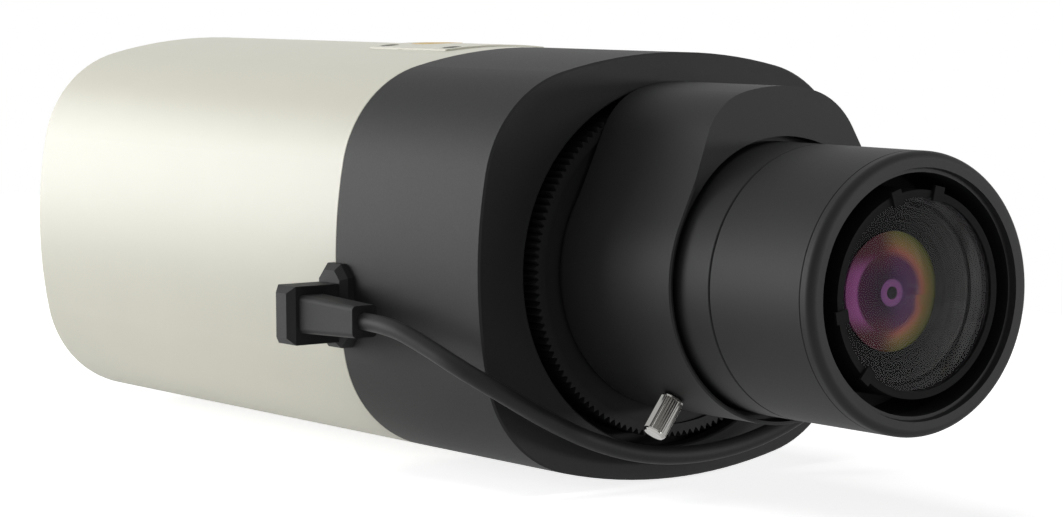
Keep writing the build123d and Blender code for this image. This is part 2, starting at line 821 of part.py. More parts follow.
# Iris motor: a slim flat-sided can in the hump
with BuildPart() as iris_motor:
    with BuildSketch(across(-hump_back - motor_cover_thickness - slip_fit)):
        with Locations((0, motor_axis_height)):
            SlotOverall(motor_width, motor_height)
    extrude(amount=motor_length - slip_fit)
    notch_top = motor_axis_height + lever_width / 2 + notch_clearance
    notch_bottom = motor_axis_height - motor_height / 2 - notch_clearance
    with Locations(at(0, -lever_depth, (notch_top + notch_bottom) / 2)):
        Box(2 * lever_gap_half_width, 3 * lever_thickness, notch_top - notch_bottom, mode=Mode.SUBTRACT)
    with BuildSketch(across(-lever_depth + 1.5 * lever_thickness)):
        with Locations((0, motor_axis_height)):
            Circle(lever_pin_radius)
    extrude(amount=3 * lever_thickness)
iris_motor.part.label = "iris_motor"
export_step(iris_motor.part, "parts/iris_motor.step")

# Motor cover: a thin lid over the pocket's mouth
with BuildPart() as motor_cover:
    with BuildSketch(across(-hump_back)):
        with Locations((0, motor_axis_height)):
            SlotOverall(motor_width, motor_height)
    extrude(amount=motor_cover_thickness)
motor_cover.part.label = "motor_cover"
export_step(motor_cover.part, "parts/motor_cover.step")

# Focus guide tube: the fixed inner tube that the rings turn on
guide_radius = guide_bore_radius + guide_wall
with BuildPart() as focus_guide_tube:
    with BuildSketch(half_section):
        band(guide_bore_radius, guide_radius, -guide_front, -web_depth)
    revolve(axis=lens_axis)
    with Locations(at(0, -lever_depth, guide_radius)):
        Box(2 * lever_gap_half_width, guide_notch_length, lever_notch_tall, mode=Mode.SUBTRACT)
focus_guide_tube.part.label = "focus_guide_tube"
export_step(focus_guide_tube.part, "parts/focus_guide_tube.step")

# Zoom ring: the rear part of the barrel, with a skirt inside the base
ring_bore = guide_radius + running_fit
with BuildPart() as zoom_ring:
    with BuildSketch(half_section):
        band(ring_bore, barrel_radius, -zoom_ring_front, -zoom_ring_back)
        band(ring_bore, skirt_bore_radius - running_fit, -zoom_ring_back, -zoom_skirt_back)
    revolve(axis=lens_axis)
    front_edges = zoom_ring.edges().filter_by(GeomType.CIRCLE).group_by(Axis.Y)[0]
    chamfer(front_edges.sort_by(SortBy.RADIUS)[-1], ring_chamfer)
zoom_ring.part.label = "zoom_ring"
export_step(zoom_ring.part, "parts/zoom_ring.step")

# Focus ring: the long smooth part of the barrel, on a web that turns on the guide tube
focus_ring_back = zoom_ring_front + ring_gap
with BuildPart() as focus_ring:
    with BuildSketch(half_section):
        band(focus_bore_radius, barrel_radius, -focus_ring_front, -focus_ring_back)
        band(ring_bore, focus_bore_radius, -focus_web_front, -focus_ring_back)
    revolve(axis=lens_axis)
    for group in (0, -1):
        ends = focus_ring.edges().filter_by(GeomType.CIRCLE).group_by(Axis.Y)[group]
        chamfer(ends.sort_by(SortBy.RADIUS)[-1], ring_chamfer)
focus_ring.part.label = "focus_ring"
export_step(focus_ring.part, "parts/focus_ring.step")

# Front trim ring: a rounded edge, a flat annulus and a step down into the throat
trim_back = focus_ring_front + trim_gap
with BuildPart() as front_trim_ring:
    with BuildSketch(half_section) as trim_profile:
        with BuildLine():
            Polyline(
                (barrel_radius, -trim_back),
                (barrel_radius, -barrel_front),
                (trim_face_inner_radius, -barrel_front),
                (trim_bead_radius, -barrel_front + trim_throat_depth),
                (trim_throat_radius, -barrel_front + trim_throat_depth),
                (trim_throat_radius, -trim_back + trim_spigot_length),
                (focus_bore_radius - running_fit, -trim_back + trim_spigot_length),
                (focus_bore_radius - running_fit, -trim_back),
                close=True,
            )
        make_face()
        outer_corner = trim_profile.vertices().group_by(Axis.X)[-1].sort_by(Axis.Y)[0]
        fillet(outer_corner, radius=trim_edge_radius)
    revolve(axis=lens_axis)
front_trim_ring.part.label = "front_trim_ring"
export_step(front_trim_ring.part, "parts/front_trim_ring.step")

# Front lens cell: the tube seen inside the barrel, stepped down to run in the guide tube
with BuildPart() as front_lens_cell:
    with BuildSketch(half_section):
        band(cell_bore_radius, cell_radius, -cell_front, -cell_step)
        band(cell_rear_bore_radius, guide_bore_radius - running_fit, -cell_step, -cell_back)
        band(cell_rear_bore_radius, cell_radius, -cell_step, -cell_step + cell_shoulder)
    revolve(axis=lens_axis)
    for angle in tab_angles:
        with BuildSketch(across(-cell_front)):
            with PolarLocations(cell_radius - tab_proud / 2, 1, start_angle=angle):
                Rectangle(3 * tab_proud, tab_width)
        extrude(amount=tab_thickness)
front_lens_cell.part.label = "front_lens_cell"
export_step(front_lens_cell.part, "parts/front_lens_cell.step")

# Front element: a shallow crowned front and a hollow back
glass_radius = cell_bore_radius - running_fit
with BuildPart() as front_element:
    with BuildSketch(half_section):
        with BuildLine():
            crown_top = (0, -front_glass_edge - front_glass_crown)
            hollow = (0, -front_glass_edge - front_glass_crown + front_glass_thickness)
            front_rim = (glass_radius, -front_glass_edge)
            back_rim = (glass_radius, -front_glass_edge + front_glass_thickness + front_glass_hollow)
            Line(hollow, crown_top)
            TangentArc(crown_top, front_rim, tangent=(1, 0))
            Line(front_rim, back_rim)
            TangentArc(hollow, back_rim, tangent=(1, 0))
        make_face()
    revolve(axis=lens_axis)
front_element.part.label = "front_element"
export_step(front_element.part, "parts/front_element.step")

# Lens baffle: a stepped cone between the front element and the second element
baffle_bore = second_glass_radius + running_fit
step_width = (glass_radius - baffle_bore - 2 * baffle_lip) / baffle_steps
step_depth = (baffle_front - baffle_back) / baffle_steps
with BuildPart() as lens_baffle:
    with BuildSketch(half_section):
        for n in range(baffle_steps):
            step_radius = glass_radius - baffle_lip - n * step_width
            band(step_radius, glass_radius, -baffle_front + n * step_depth, -cell_step)
        band(baffle_bore, glass_radius, -baffle_back, -cell_step)
    revolve(axis=lens_axis)
lens_baffle.part.label = "lens_baffle"
export_step(lens_baffle.part, "parts/lens_baffle.step")

# Second element: a strongly crowned lens in the baffle's bore
with BuildPart() as second_element:
    with BuildSketch(half_section):
        with BuildLine():
            second_top = (0, -second_glass_front)
            second_edge = (second_glass_radius, -second_glass_front + second_glass_sag)
            second_foot = (second_glass_radius, -second_glass_front + second_glass_thickness)
            TangentArc(second_top, second_edge, tangent=(1, 0))
            Line(second_edge, second_foot)
            Line(second_foot, (0, -second_glass_front + second_glass_thickness))
            Line((0, -second_glass_front + second_glass_thickness), second_top)
        make_face()
    revolve(axis=lens_axis)
second_element.part.label = "second_element"
export_step(second_element.part, "parts/second_element.step")

# Iris housing: a shallow cup with a round aperture, and its cover in front
with BuildPart() as iris_housing:
    with BuildSketch(half_section):
        band(iris_pocket_radius, guide_bore_radius - running_fit, -iris_front + iris_wall, -web_depth)
        band(iris_aperture_radius, iris_pocket_radius, -web_depth - iris_wall, -web_depth)
    revolve(axis=lens_axis)
    with Locations(at(0, -lever_depth, guide_bore_radius)):
        Box(2 * lever_gap_half_width, housing_notch_length, lever_notch_tall, mode=Mode.SUBTRACT)
iris_housing.part.label = "iris_housing"
export_step(iris_housing.part, "parts/iris_housing.step")

with BuildPart() as iris_cover:
    with BuildSketch(half_section):
        band(iris_aperture_radius, guide_bore_radius - running_fit, -iris_front, -iris_front + iris_wall)
    revolve(axis=lens_axis)
iris_cover.part.label = "iris_cover"
export_step(iris_cover.part, "parts/iris_cover.step")

# Iris blades: two notched plates that close the aperture from above and below
blades = ((1, "iris_blade_upper", front_blade_depth), (-1, "iris_blade_lower", rear_blade_depth))
for sign, name, depth in blades:
    with BuildPart() as iris_blade:
        with BuildSketch(across(-depth + blade_thickness)):
            with BuildLine():
                Polyline(
                    (-blade_half_width, sign * blade_height),
                    (blade_half_width, sign * blade_height),
                    (blade_half_width, -sign * blade_overlap),
                    (blade_notch + blade_overlap, -sign * blade_overlap),
                    (0, sign * blade_notch),
                    (-blade_notch - blade_overlap, -sign * blade_overlap),
                    (-blade_half_width, -sign * blade_overlap),
                    close=True,
                )
            make_face()
        extrude(amount=blade_thickness)
    iris_blade.part.label = name
    export_step(iris_blade.part, f"parts/{name}.step")

# Iris lever: hangs from the motor's axis and swings the blades
with BuildPart() as iris_lever:
    with BuildSketch(across(-lever_depth + lever_thickness / 2)):
        with Locations((0, motor_axis_height - lever_reach / 2 + lever_width / 2)):
            SlotOverall(lever_reach, lever_width, rotation=90)
        with Locations((0, motor_axis_height)):
            Circle(lever_pin_radius + running_fit, mode=Mode.SUBTRACT)
    extrude(amount=lever_thickness)
iris_lever.part.label = "iris_lever"
export_step(iris_lever.part, "parts/iris_lever.step")

# Rear lens cell: a short sleeve that slides in the base's bore as the zoom ring turns
rear_cell_radius = rear_bore_radius - running_fit
rear_cell_back = rear_cell_front - rear_cell_length
with BuildPart() as rear_lens_cell:
    with BuildSketch(half_section):
        seat_radius = rear_cell_radius - 2 * rear_cell_wall
        band(rear_cell_radius - rear_cell_wall, rear_cell_radius, -rear_cell_front, -rear_cell_back)
        band(seat_radius, rear_cell_radius, -rear_cell_back - rear_cell_lip, -rear_cell_back)
    revolve(axis=lens_axis)
rear_lens_cell.part.label = "rear_lens_cell"
export_step(rear_lens_cell.part, "parts/rear_lens_cell.step")

with BuildPart() as rear_element:
    rear_glass_radius = rear_cell_radius - rear_cell_wall - running_fit
    rear_glass_back = -rear_cell_back - rear_cell_lip
    with BuildSketch(half_section):
        with BuildLine():
            rear_top = (0, rear_glass_back - rear_glass_thickness)
            rear_edge = (rear_glass_radius, rear_glass_back - rear_glass_thickness + rear_glass_sag)
            TangentArc(rear_top, rear_edge, tangent=(1, 0))
            Line(rear_edge, (rear_glass_radius, rear_glass_back))
            Line((rear_glass_radius, rear_glass_back), (0, rear_glass_back))
            Line((0, rear_glass_back), rear_top)
        make_face()
    revolve(axis=lens_axis)
rear_element.part.label = "rear_element"
export_step(rear_element.part, "parts/rear_element.step")

# Zoom lock screw: a thumb screw through the base that presses on the zoom ring's skirt
with BuildPart() as zoom_lock_screw:
    with BuildSketch(screw_plane(skirt_bore_radius - running_fit + screw_tip_gap)):
        Circle(screw_shank_radius)
    shank_top = base_radius + screw_head_gap
    extrude(amount=shank_top - skirt_bore_radius + running_fit - screw_tip_gap)
    with BuildSketch(screw_plane(shank_top)):
        Circle(screw_head_radius)
    extrude(amount=screw_top_radius - shank_top)
    head_rims = zoom_lock_screw.edges().filter_by(GeomType.CIRCLE).filter_by(
        lambda edge: abs(edge.radius - screw_head_radius) < 0.01
    )
    chamfer(head_rims, screw_chamfer)
zoom_lock_screw.part.label = "zoom_lock_screw"
export_step(zoom_lock_screw.part, "parts/zoom_lock_screw.step")

# Iris socket: an octagonal boss on the side with a neck through the wall
boss_face_x = -body_width / 2 - boss_proud


def facing_left(x, depth, height):
    """The plane across X at a point, facing -X: sketch x is +Y and sketch y is -Z."""
    return Plane(at(x, depth, height), x_dir=(0, 1, 0), z_dir=(-1, 0, 0))


with BuildPart() as iris_socket:
    with BuildSketch(facing_left(boss_root - body_width / 2, boss_depth, boss_height)) as boss_sketch:
        Rectangle(boss_length, boss_tall)
        chamfer(boss_sketch.vertices(), boss_corner)
    extrude(amount=boss_proud + boss_root)
    chamfer(iris_socket.faces().sort_by(Axis.X)[0].edges(), boss_bevel)
    extrude(body_outline(boss_depth + boss_length, 0), amount=2 * boss_length, mode=Mode.SUBTRACT)
    with BuildSketch(facing_left(neck_back_x, boss_depth, boss_height)):
        Rectangle(neck_length, neck_tall)
    extrude(amount=body_width / 2 + neck_back_x + neck_overlap)
    with BuildSketch(facing_left(boss_face_x, boss_depth, boss_height)):
        with GridLocations(pin_pitch, pin_pitch, 2, pin_count // 2):
            Circle(pin_radius + slip_fit)
    extrude(amount=-pin_length - slip_fit, mode=Mode.SUBTRACT)
iris_socket.part.label = "iris_socket"
export_step(iris_socket.part, "parts/iris_socket.step")

# Iris plug: a chamfered block on the socket, with a tapering cable sleeve that runs forwards
sleeve_middle_x = (sleeve_outer_x + sleeve_inner_x) / 2
sleeve_wide = sleeve_inner_x - sleeve_outer_x
plug_front = plug_centre_depth - plug_length / 2
with BuildPart() as iris_plug:
    with BuildSketch(facing_left(boss_face_x, plug_centre_depth, plug_centre_height)):
        Rectangle(plug_length, plug_tall)
    extrude(amount=boss_face_x - plug_face_x)
    outer_edges = iris_plug.faces().sort_by(Axis.X)[0].edges()
    chamfer(outer_edges, plug_chamfer)
    with BuildSketch(across(plug_front + sleeve_root)):
        with Locations((sleeve_middle_x, cable_height)):
            RectangleRounded(sleeve_wide, sleeve_tall_back, sleeve_edge)
    with BuildSketch(across(sleeve_front)):
        with Locations((sleeve_middle_x, cable_height)):
            RectangleRounded(sleeve_wide - 2 * sleeve_taper, sleeve_tall_front, sleeve_edge)
    loft()
    with BuildSketch(facing_left(boss_face_x + pin_length, boss_depth, boss_height)):
        with GridLocations(pin_pitch, pin_pitch, 2, pin_count // 2):
            Circle(pin_radius)
    extrude(amount=pin_length)
iris_plug.part.label = "iris_plug"
export_step(iris_plug.part, "parts/iris_plug.step")

# Cable relief: a short tapered boot on the right flank of the lens base
relief_direction = Vector(cos(radians(relief_tilt)), 0, -sin(radians(relief_tilt)))
relief_root = Vector(*at(relief_foot[0], relief_depth, relief_foot[1]))
relief_tip = relief_root + relief_direction * relief_length
relief_start = relief_root - relief_direction * relief_root_length
with BuildPart() as cable_relief:
    with BuildSketch(Plane(relief_start, x_dir=(0, 1, 0), z_dir=relief_direction)):
        Circle(relief_root_radius)
    with BuildSketch(Plane(relief_tip, x_dir=(0, 1, 0), z_dir=relief_direction)):
        Circle(relief_tip_radius)
    loft()
    extrude(base_outline.sketch, amount=base_length - hump_back, mode=Mode.SUBTRACT)
cable_relief.part.label = "cable_relief"
export_step(cable_relief.part, "parts/cable_relief.step")

# Iris cable: from the plug's sleeve, round the corner of the bezel, under the lens and up
# its far side to the relief. Points are (x, depth, height), and every bend is one arc.
cable_route = [
    (sleeve_middle_x, sleeve_front, cable_height),
    (sleeve_middle_x, 14.0, cable_height),
    (-42.2, 6.2, -10.0),
    (-40.9, -1.6, -13.0),
    (-36.2, -5.6, -16.6),
    (-27.6, -5.6, -21.6),
    (-18.4, -5.2, -25.8),
    (-8.6, -5.0, -28.5),
    (1.6, -5.0, -29.2),
    (11.6, -5.4, -27.9),
    (20.4, -6.6, -24.4),
    (27.4, -9.4, -18.2),
    (32.0, -13.2, -9.8),
    (34.2, -17.2, -0.6),
]
cable_points = [Vector(*at(*point)) for point in cable_route]
cable_points.append(relief_tip + relief_direction * approach_length)
cable_points.append(relief_tip)
cable_radii = []
for before, point, after in zip(cable_points, cable_points[1:], cable_points[2:]):
    turn = (point - before).get_angle(after - point)
    shorter = min((point - before).length, (after - point).length)
    cable_radii.append(bend_share * shorter / tan(radians(turn / 2)))
with BuildPart() as iris_cable:
    with BuildLine() as cable_line:
        FilletPolyline(*cable_points, radius=cable_radii)
    with BuildSketch(Plane(cable_points[0], z_dir=cable_points[1] - cable_points[0])):
        Circle(cable_radius)
    sweep()
cable_length = sum(edge.length for edge in cable_line.edges())
print("cable length", round(cable_length, 1), "tightest bend", round(min(cable_radii), 1))
iris_cable.part.label = "iris_cable"
export_step(iris_cable.part, "parts/iris_cable.step")

# Main board, flat on the housing's bosses
main_board_back = rear_board_depth - slip_fit
with BuildPart() as main_board:
    with BuildSketch(level(0, main_board_height)):
        with Locations((0, (main_board_front + main_board_back) / 2)):
            Rectangle(2 * board_half_width, main_board_back - main_board_front)
        with Locations(*board_spots):
            Circle(board_screw_radius + slip_fit, mode=Mode.SUBTRACT)
    extrude(amount=-board_thickness)
main_board.part.label = "main_board"
export_step(main_board.part, "parts/main_board.step")

with BuildPart() as board_screws:
    with BuildSketch(level(0, main_board_height)):
        with Locations(*board_spots):
            Circle(pan_head_radius)
    extrude(amount=pan_head_height)
    with BuildSketch(level(0, main_board_height)):
        with Locations(*board_spots):
            Circle(board_screw_radius - running_fit)
    extrude(amount=-board_screw_length)
board_screws.part.label = "board_screws"
export_step(board_screws.part, "parts/board_screws.step")

# Chips: processor, two memories and the power coil, with the reset switch on the rear board
with BuildPart() as board_chips:
    with BuildSketch(level(heat_sink_depth, main_board_height)):
        Rectangle(processor_side, processor_side)
        with Locations(*memory_spots):
            Rectangle(memory_width, memory_length)
        with Locations(coil_spot):
            Circle(coil_radius)
    extrude(amount=processor_height)
    with BuildSketch(across(rear_board_back + switch_height)):
        with Locations(button_place):
            Rectangle(switch_side, switch_side)
    extrude(amount=switch_height)
board_chips.part.label = "board_chips"
export_step(board_chips.part, "parts/board_chips.step")

# Heat sink: a finned block on the processor
with BuildPart() as heat_sink:
    sink_floor = main_board_height + processor_height
    with BuildSketch(level(heat_sink_depth, sink_floor)):
        Rectangle(heat_sink_side, heat_sink_side)
    extrude(amount=heat_sink_base)
    fin_pitch = (heat_sink_side - fin_thickness) / (fin_count - 1)
    with BuildSketch(level(heat_sink_depth, sink_floor + heat_sink_base)):
        with GridLocations(fin_pitch, 0, fin_count, 1):
            Rectangle(fin_thickness, heat_sink_side)
    extrude(amount=heat_sink_height - heat_sink_base)
heat_sink.part.label = "heat_sink"
export_step(heat_sink.part, "parts/heat_sink.step")

# Rear board, on four standoffs behind the panel
with BuildPart() as rear_board:
    extrude(body_outline(rear_board_back, rear_board_inset), amount=rear_board_thickness)
rear_board.part.label = "rear_board"
export_step(rear_board.part, "parts/rear_board.step")

with BuildPart() as panel_standoffs:
    with BuildSketch(across(panel_front)):
        with Locations(*standoff_spots):
            RegularPolygon(standoff_radius, 6)
    extrude(amount=panel_front - rear_board_back)
panel_standoffs.part.label = "panel_standoffs"
export_step(panel_standoffs.part, "parts/panel_standoffs.step")


def terminal_width(poles):
    """Width of a terminal block with its end walls."""
    return poles * terminal_pitch + 2 * terminal_margin


# Rear panel: the outline moved in by the wall, with a hole for each socket
with BuildPart() as rear_panel:
    extrude(body_outline(panel_depth, wall + slip_fit), amount=panel_thickness)
    with BuildSketch(across(panel_depth)):
        with Locations(jack_place):
            Rectangle(jack_width + 2 * slip_fit, jack_tall + 2 * slip_fit)
        with Locations(card_place):
            Rectangle(card_width + 2 * slip_fit, card_tall + 2 * slip_fit)
        with Locations(power_place):
            Rectangle(terminal_width(power_poles) + 2 * slip_fit, terminal_tall + 2 * slip_fit)
        with Locations(alarm_place):
            Rectangle(terminal_width(alarm_poles) + 2 * slip_fit, terminal_tall + 2 * slip_fit)
        with Locations(video_place):
            Circle(video_barrel_radius + slip_fit)
        with Locations(*audio_places):
            Circle(audio_collar_radius + slip_fit)
        with Locations(button_place):
            Circle(button_radius + running_fit)
        with Locations(*light_places):
            Circle(light_radius + slip_fit)
        with Locations(*lug_spots):
            Circle(board_screw_radius + slip_fit)
    extrude(amount=panel_thickness, mode=Mode.SUBTRACT)
rear_panel.part.label = "rear_panel"
export_step(rear_panel.part, "parts/rear_panel.step")

with BuildPart() as panel_screws:
    with BuildSketch(across(panel_depth + pan_head_height)):
        with Locations(*lug_spots):
            Circle(pan_head_radius)
    extrude(amount=pan_head_height)
    with BuildSketch(across(panel_depth)):
        with Locations(*lug_spots):
            Circle(board_screw_radius - running_fit)
    extrude(amount=panel_thickness + panel_screw_length)
panel_screws.part.label = "panel_screws"
export_step(panel_screws.part, "parts/panel_screws.step")

# Network jack: a shell with the stepped mouth for a plug and its latch
with BuildPart() as network_jack:
    jack_back = panel_depth + jack_proud
    with BuildSketch(across(jack_back)):
        with Locations(jack_place):
            Rectangle(jack_width, jack_tall)
    extrude(amount=jack_back - rear_board_back)
    mouth_z = jack_place[1] + jack_mouth_rise
    with BuildSketch(across(jack_back)):
        with Locations((jack_place[0], mouth_z)):
            Rectangle(jack_mouth_width, jack_mouth_tall)
        with Locations((jack_place[0], mouth_z - (jack_mouth_tall + jack_latch_tall) / 2)):
            Rectangle(jack_latch_width, jack_latch_tall)
    extrude(amount=jack_mouth_depth, mode=Mode.SUBTRACT)
network_jack.part.label = "network_jack"
export_step(network_jack.part, "parts/network_jack.step")

# Video connector: a bayonet barrel with two lugs, on a flange against the panel
video_end = panel_depth + video_barrel_length
with BuildPart() as video_connector:
    with BuildSketch(across(video_end)):
        with Locations(video_place):
            Circle(video_barrel_radius)
    extrude(amount=video_end - rear_board_back)
    with BuildSketch(across(panel_depth + video_flange_thickness)):
        with Locations(video_place):
            Circle(video_flange_radius)
    extrude(amount=video_flange_thickness)
    with BuildSketch(Plane(at(video_place[0], video_end - video_lug_setback, video_place[1]))):
        Circle(video_lug_radius)
    extrude(amount=video_barrel_radius + video_lug_reach, both=True)
    hole(video_place, video_bore_radius, video_end, video_bore_depth)
video_connector.part.label = "video_connector"
export_step(video_connector.part, "parts/video_connector.step")

with BuildPart() as video_insulator:
    with BuildSketch(across(video_end - insulator_sunk)):
        with Locations(video_place):
            Circle(insulator_radius)
            Circle(contact_radius, mode=Mode.SUBTRACT)
    extrude(amount=video_bore_depth - insulator_sunk)
video_insulator.part.label = "video_insulator"
export_step(video_insulator.part, "parts/video_insulator.step")

with BuildPart() as video_pin:
    with BuildSketch(across(video_end - contact_sunk)):
        with Locations(video_place):
            Circle(contact_radius - running_fit)
    extrude(amount=video_bore_depth - contact_sunk)
    hole(video_place, contact_bore_radius, video_end - contact_sunk, contact_bore_depth)
video_pin.part.label = "video_pin"
export_step(video_pin.part, "parts/video_pin.step")

# Terminal blocks for the power and the alarm wires, with a wire hole and a screw for each pole
terminal_back = panel_depth + terminal_proud


def pole_spots(place, poles, rise):
    """One spot for each pole, in a row that is raised from the block's middle."""
    return [(place[0] + (n - (poles - 1) / 2) * terminal_pitch, place[1] + rise) for n in range(poles)]


wire_rise = -terminal_tall / 4
terminal_screw_rise = terminal_tall / 4
terminals = ((power_place, power_poles), (alarm_place, alarm_poles))
with BuildPart() as terminal_blocks:
    for place, poles in terminals:
        with BuildSketch(across(terminal_back)):
            with Locations(place):
                Rectangle(terminal_width(poles), terminal_tall)
        extrude(amount=terminal_back - rear_board_back)
        with BuildSketch(across(terminal_back)):
            with Locations(*pole_spots(place, poles, wire_rise)):
                Circle(wire_hole_radius)
        extrude(amount=wire_hole_depth, mode=Mode.SUBTRACT)
        with BuildSketch(across(terminal_back)):
            with Locations(*pole_spots(place, poles, terminal_screw_rise)):
                Circle(terminal_screw_radius + slip_fit)
        extrude(amount=terminal_screw_sunk + terminal_screw_length, mode=Mode.SUBTRACT)
terminal_blocks.part.label = "terminal_blocks"
export_step(terminal_blocks.part, "parts/terminal_blocks.step")

with BuildPart() as terminal_screws:
    for place, poles in terminals:
        with BuildSketch(across(terminal_back - terminal_screw_sunk)):
            with Locations(*pole_spots(place, poles, terminal_screw_rise)):
                Circle(terminal_screw_radius)
        extrude(amount=terminal_screw_length)
terminal_screws.part.label = "terminal_screws"
export_step(terminal_screws.part, "parts/terminal_screws.step")

# Audio jacks: threaded collars with a round nut on the panel
with BuildPart() as audio_jacks:
    with BuildSketch(across(panel_depth + audio_proud)):
        with Locations(*audio_places):
            Circle(audio_nut_radius)
    extrude(amount=audio_proud)
    with BuildSketch(across(panel_depth)):
        with Locations(*audio_places):
            Circle(audio_collar_radius)
    extrude(amount=panel_depth - rear_board_back)
    for place in audio_places:
        hole(place, audio_bore_radius, panel_depth + audio_proud, audio_bore_depth)
audio_jacks.part.label = "audio_jacks"
export_step(audio_jacks.part, "parts/audio_jacks.step")

# Card slot: a flat shell with a thin mouth
with BuildPart() as card_slot:
    with BuildSketch(across(panel_depth)):
        with Locations(card_place):
            Rectangle(card_width, card_tall)
    extrude(amount=panel_depth - rear_board_back)
    with BuildSketch(across(panel_depth)):
        with Locations(card_place):
            Rectangle(card_mouth_width, card_mouth_tall)
    extrude(amount=card_depth, mode=Mode.SUBTRACT)
card_slot.part.label = "card_slot"
export_step(card_slot.part, "parts/card_slot.step")

# Reset button: a sprung pin in the panel, over the switch on the rear board
switch_top = rear_board_back + switch_height
with BuildPart() as reset_button:
    with BuildSketch(across(panel_depth - button_sunk)):
        with Locations(button_place):
            Circle(button_radius)
    extrude(amount=panel_depth - button_sunk - switch_top - button_travel - slip_fit)
    with BuildSketch(across(panel_front - slip_fit)):
        with Locations(button_place):
            Circle(button_flange_radius)
    extrude(amount=button_flange_thickness)
reset_button.part.label = "reset_button"
export_step(reset_button.part, "parts/reset_button.step")

# Status lights: two clear light guides
with BuildPart() as status_lights:
    with BuildSketch(across(panel_depth + light_proud)):
        with Locations(*light_places):
            Circle(light_radius)
    extrude(amount=panel_depth + light_proud - rear_board_back)
status_lights.part.label = "status_lights"
export_step(status_lights.part, "parts/status_lights.step")
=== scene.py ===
# %% [markdown]
# # A security box camera, dressed in Blender
# The engineering model of the camera is loaded first and never moved. This file gives it
# its looks: finishes for its shells, lens glass with its coatings, a thin cable and soft light.
# Everything is in metres, with the origin at the mouth of the top tripod socket, the lens
# pointing along -Y and +Z up.

# %% Load the model
from math import cos, pi, radians, sin

import bmesh
import bpy
from mathutils import Matrix, Vector


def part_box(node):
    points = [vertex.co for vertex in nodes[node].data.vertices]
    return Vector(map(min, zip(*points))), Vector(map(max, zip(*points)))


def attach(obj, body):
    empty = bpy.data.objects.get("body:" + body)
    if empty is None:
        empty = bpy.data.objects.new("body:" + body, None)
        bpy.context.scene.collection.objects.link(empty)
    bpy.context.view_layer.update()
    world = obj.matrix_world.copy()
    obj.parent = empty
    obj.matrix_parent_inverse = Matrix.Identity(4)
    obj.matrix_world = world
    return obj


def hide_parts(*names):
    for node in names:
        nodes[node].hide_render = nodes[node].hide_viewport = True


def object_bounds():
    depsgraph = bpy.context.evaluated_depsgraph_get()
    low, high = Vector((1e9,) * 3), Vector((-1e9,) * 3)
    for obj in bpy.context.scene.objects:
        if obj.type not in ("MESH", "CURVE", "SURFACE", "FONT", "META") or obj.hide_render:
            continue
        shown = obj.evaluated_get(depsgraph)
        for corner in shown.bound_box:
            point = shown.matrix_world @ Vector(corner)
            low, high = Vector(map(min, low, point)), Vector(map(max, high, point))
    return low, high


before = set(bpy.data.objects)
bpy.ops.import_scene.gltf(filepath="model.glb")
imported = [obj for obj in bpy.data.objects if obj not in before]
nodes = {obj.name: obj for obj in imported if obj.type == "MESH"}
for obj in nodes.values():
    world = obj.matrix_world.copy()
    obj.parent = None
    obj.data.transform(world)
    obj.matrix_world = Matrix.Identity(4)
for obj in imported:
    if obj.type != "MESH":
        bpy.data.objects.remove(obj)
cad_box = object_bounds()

collection = bpy.context.scene.collection
print("nodes", len(nodes))

# %% [markdown]
# The lens axis is the line that everything round is turned about. It runs through the
# middle of the body's section, so two sizes fix it: how far the bezel's face lies in front
# of the tripod socket, and how far the axis lies below the socket's mouth. A helper turns
# distances measured from that axis, in millimetres, into the frame's metres.

# %% Where the lens axis is
MM = 0.001
face_setback = 66.0
axis_drop = 33.6


def at(x, depth, height):
    """A point given in millimetres from the lens axis and the bezel's face."""
    return Vector((x * MM, (depth - face_setback) * MM, (height - axis_drop) * MM))


print("lens axis at the face", at(0, 0, 0))

# %% [markdown]
# The camera stands where the photographer stood: 35 degrees round to the left of the lens
# and 5 degrees above it, with a long lens, from about half a metre away. Its focal length
# and distance come from fitting the body's outline and the lens's circles, so the
# perspective of the render has the same convergence as the picture.

# %% The camera
image_width = 1063
focal_pixels = 3447.6
view_turn = radians(-34.913)
view_rise = radians(5.037)
view_roll = radians(-0.361)
view_distance = 537.13
view_shift_right = 22.0
view_shift_up = -1.2

back = Vector((sin(view_turn) * cos(view_rise), -cos(view_turn) * cos(view_rise), sin(view_rise)))
level_right = Vector((cos(view_turn), sin(view_turn), 0))
level_up = back.cross(level_right)
right = level_right * cos(view_roll) + level_up * sin(view_roll)
up = level_up * cos(view_roll) - level_right * sin(view_roll)
eye = back * view_distance - right * view_shift_right - up * view_shift_up
camera_data = bpy.data.cameras.new("photo_camera")
camera_data.sensor_width = 36
camera_data.lens = focal_pixels * camera_data.sensor_width / image_width
camera_data.clip_start = 0.02
camera = bpy.data.objects.new("photo_camera", camera_data)
turn = Matrix((right, up, back)).transposed().to_4x4()
camera.matrix_world = Matrix.Translation(at(*eye)) @ turn
collection.objects.link(camera)
bpy.context.scene.camera = camera
print("focal length", round(camera_data.lens, 1), "mm")

# %% [markdown]
# The picture was taken on pure white. The world and the floor are white to the camera, in
# reflections and through glass, so metal and glass show the same white. Matt surfaces get
# hardly any light from them: that comes from lamps. Two broad boxes behind the body on the
# left graze its side and the lens, which draws the wide sheen. One box overhead lights the
# top. Two on the right lift the faces that look forward, and are kept off the glass, where
# they would stand as two pale windows. Two small ones light the inside of the lens.

# %% The studio
scene = bpy.context.scene
scene.view_settings.view_transform = "Standard"
white = (1, 1, 1, 1)
fill_strength = 0.012


def shader_tree(owner):
    """An empty node tree."""
    owner.use_nodes = True
    tree = owner.node_tree
    tree.nodes.clear()
    return tree


def put(tree, kind, **settings):
    """Adds a node. A setting sets the node's property, or its input where it has that name."""
    node = tree.nodes.new(kind)
    for name, value in settings.items():
        if hasattr(node, name):
            setattr(node, name, value)
        else:
            node.inputs[name.replace("_", " ")].default_value = value
    return node


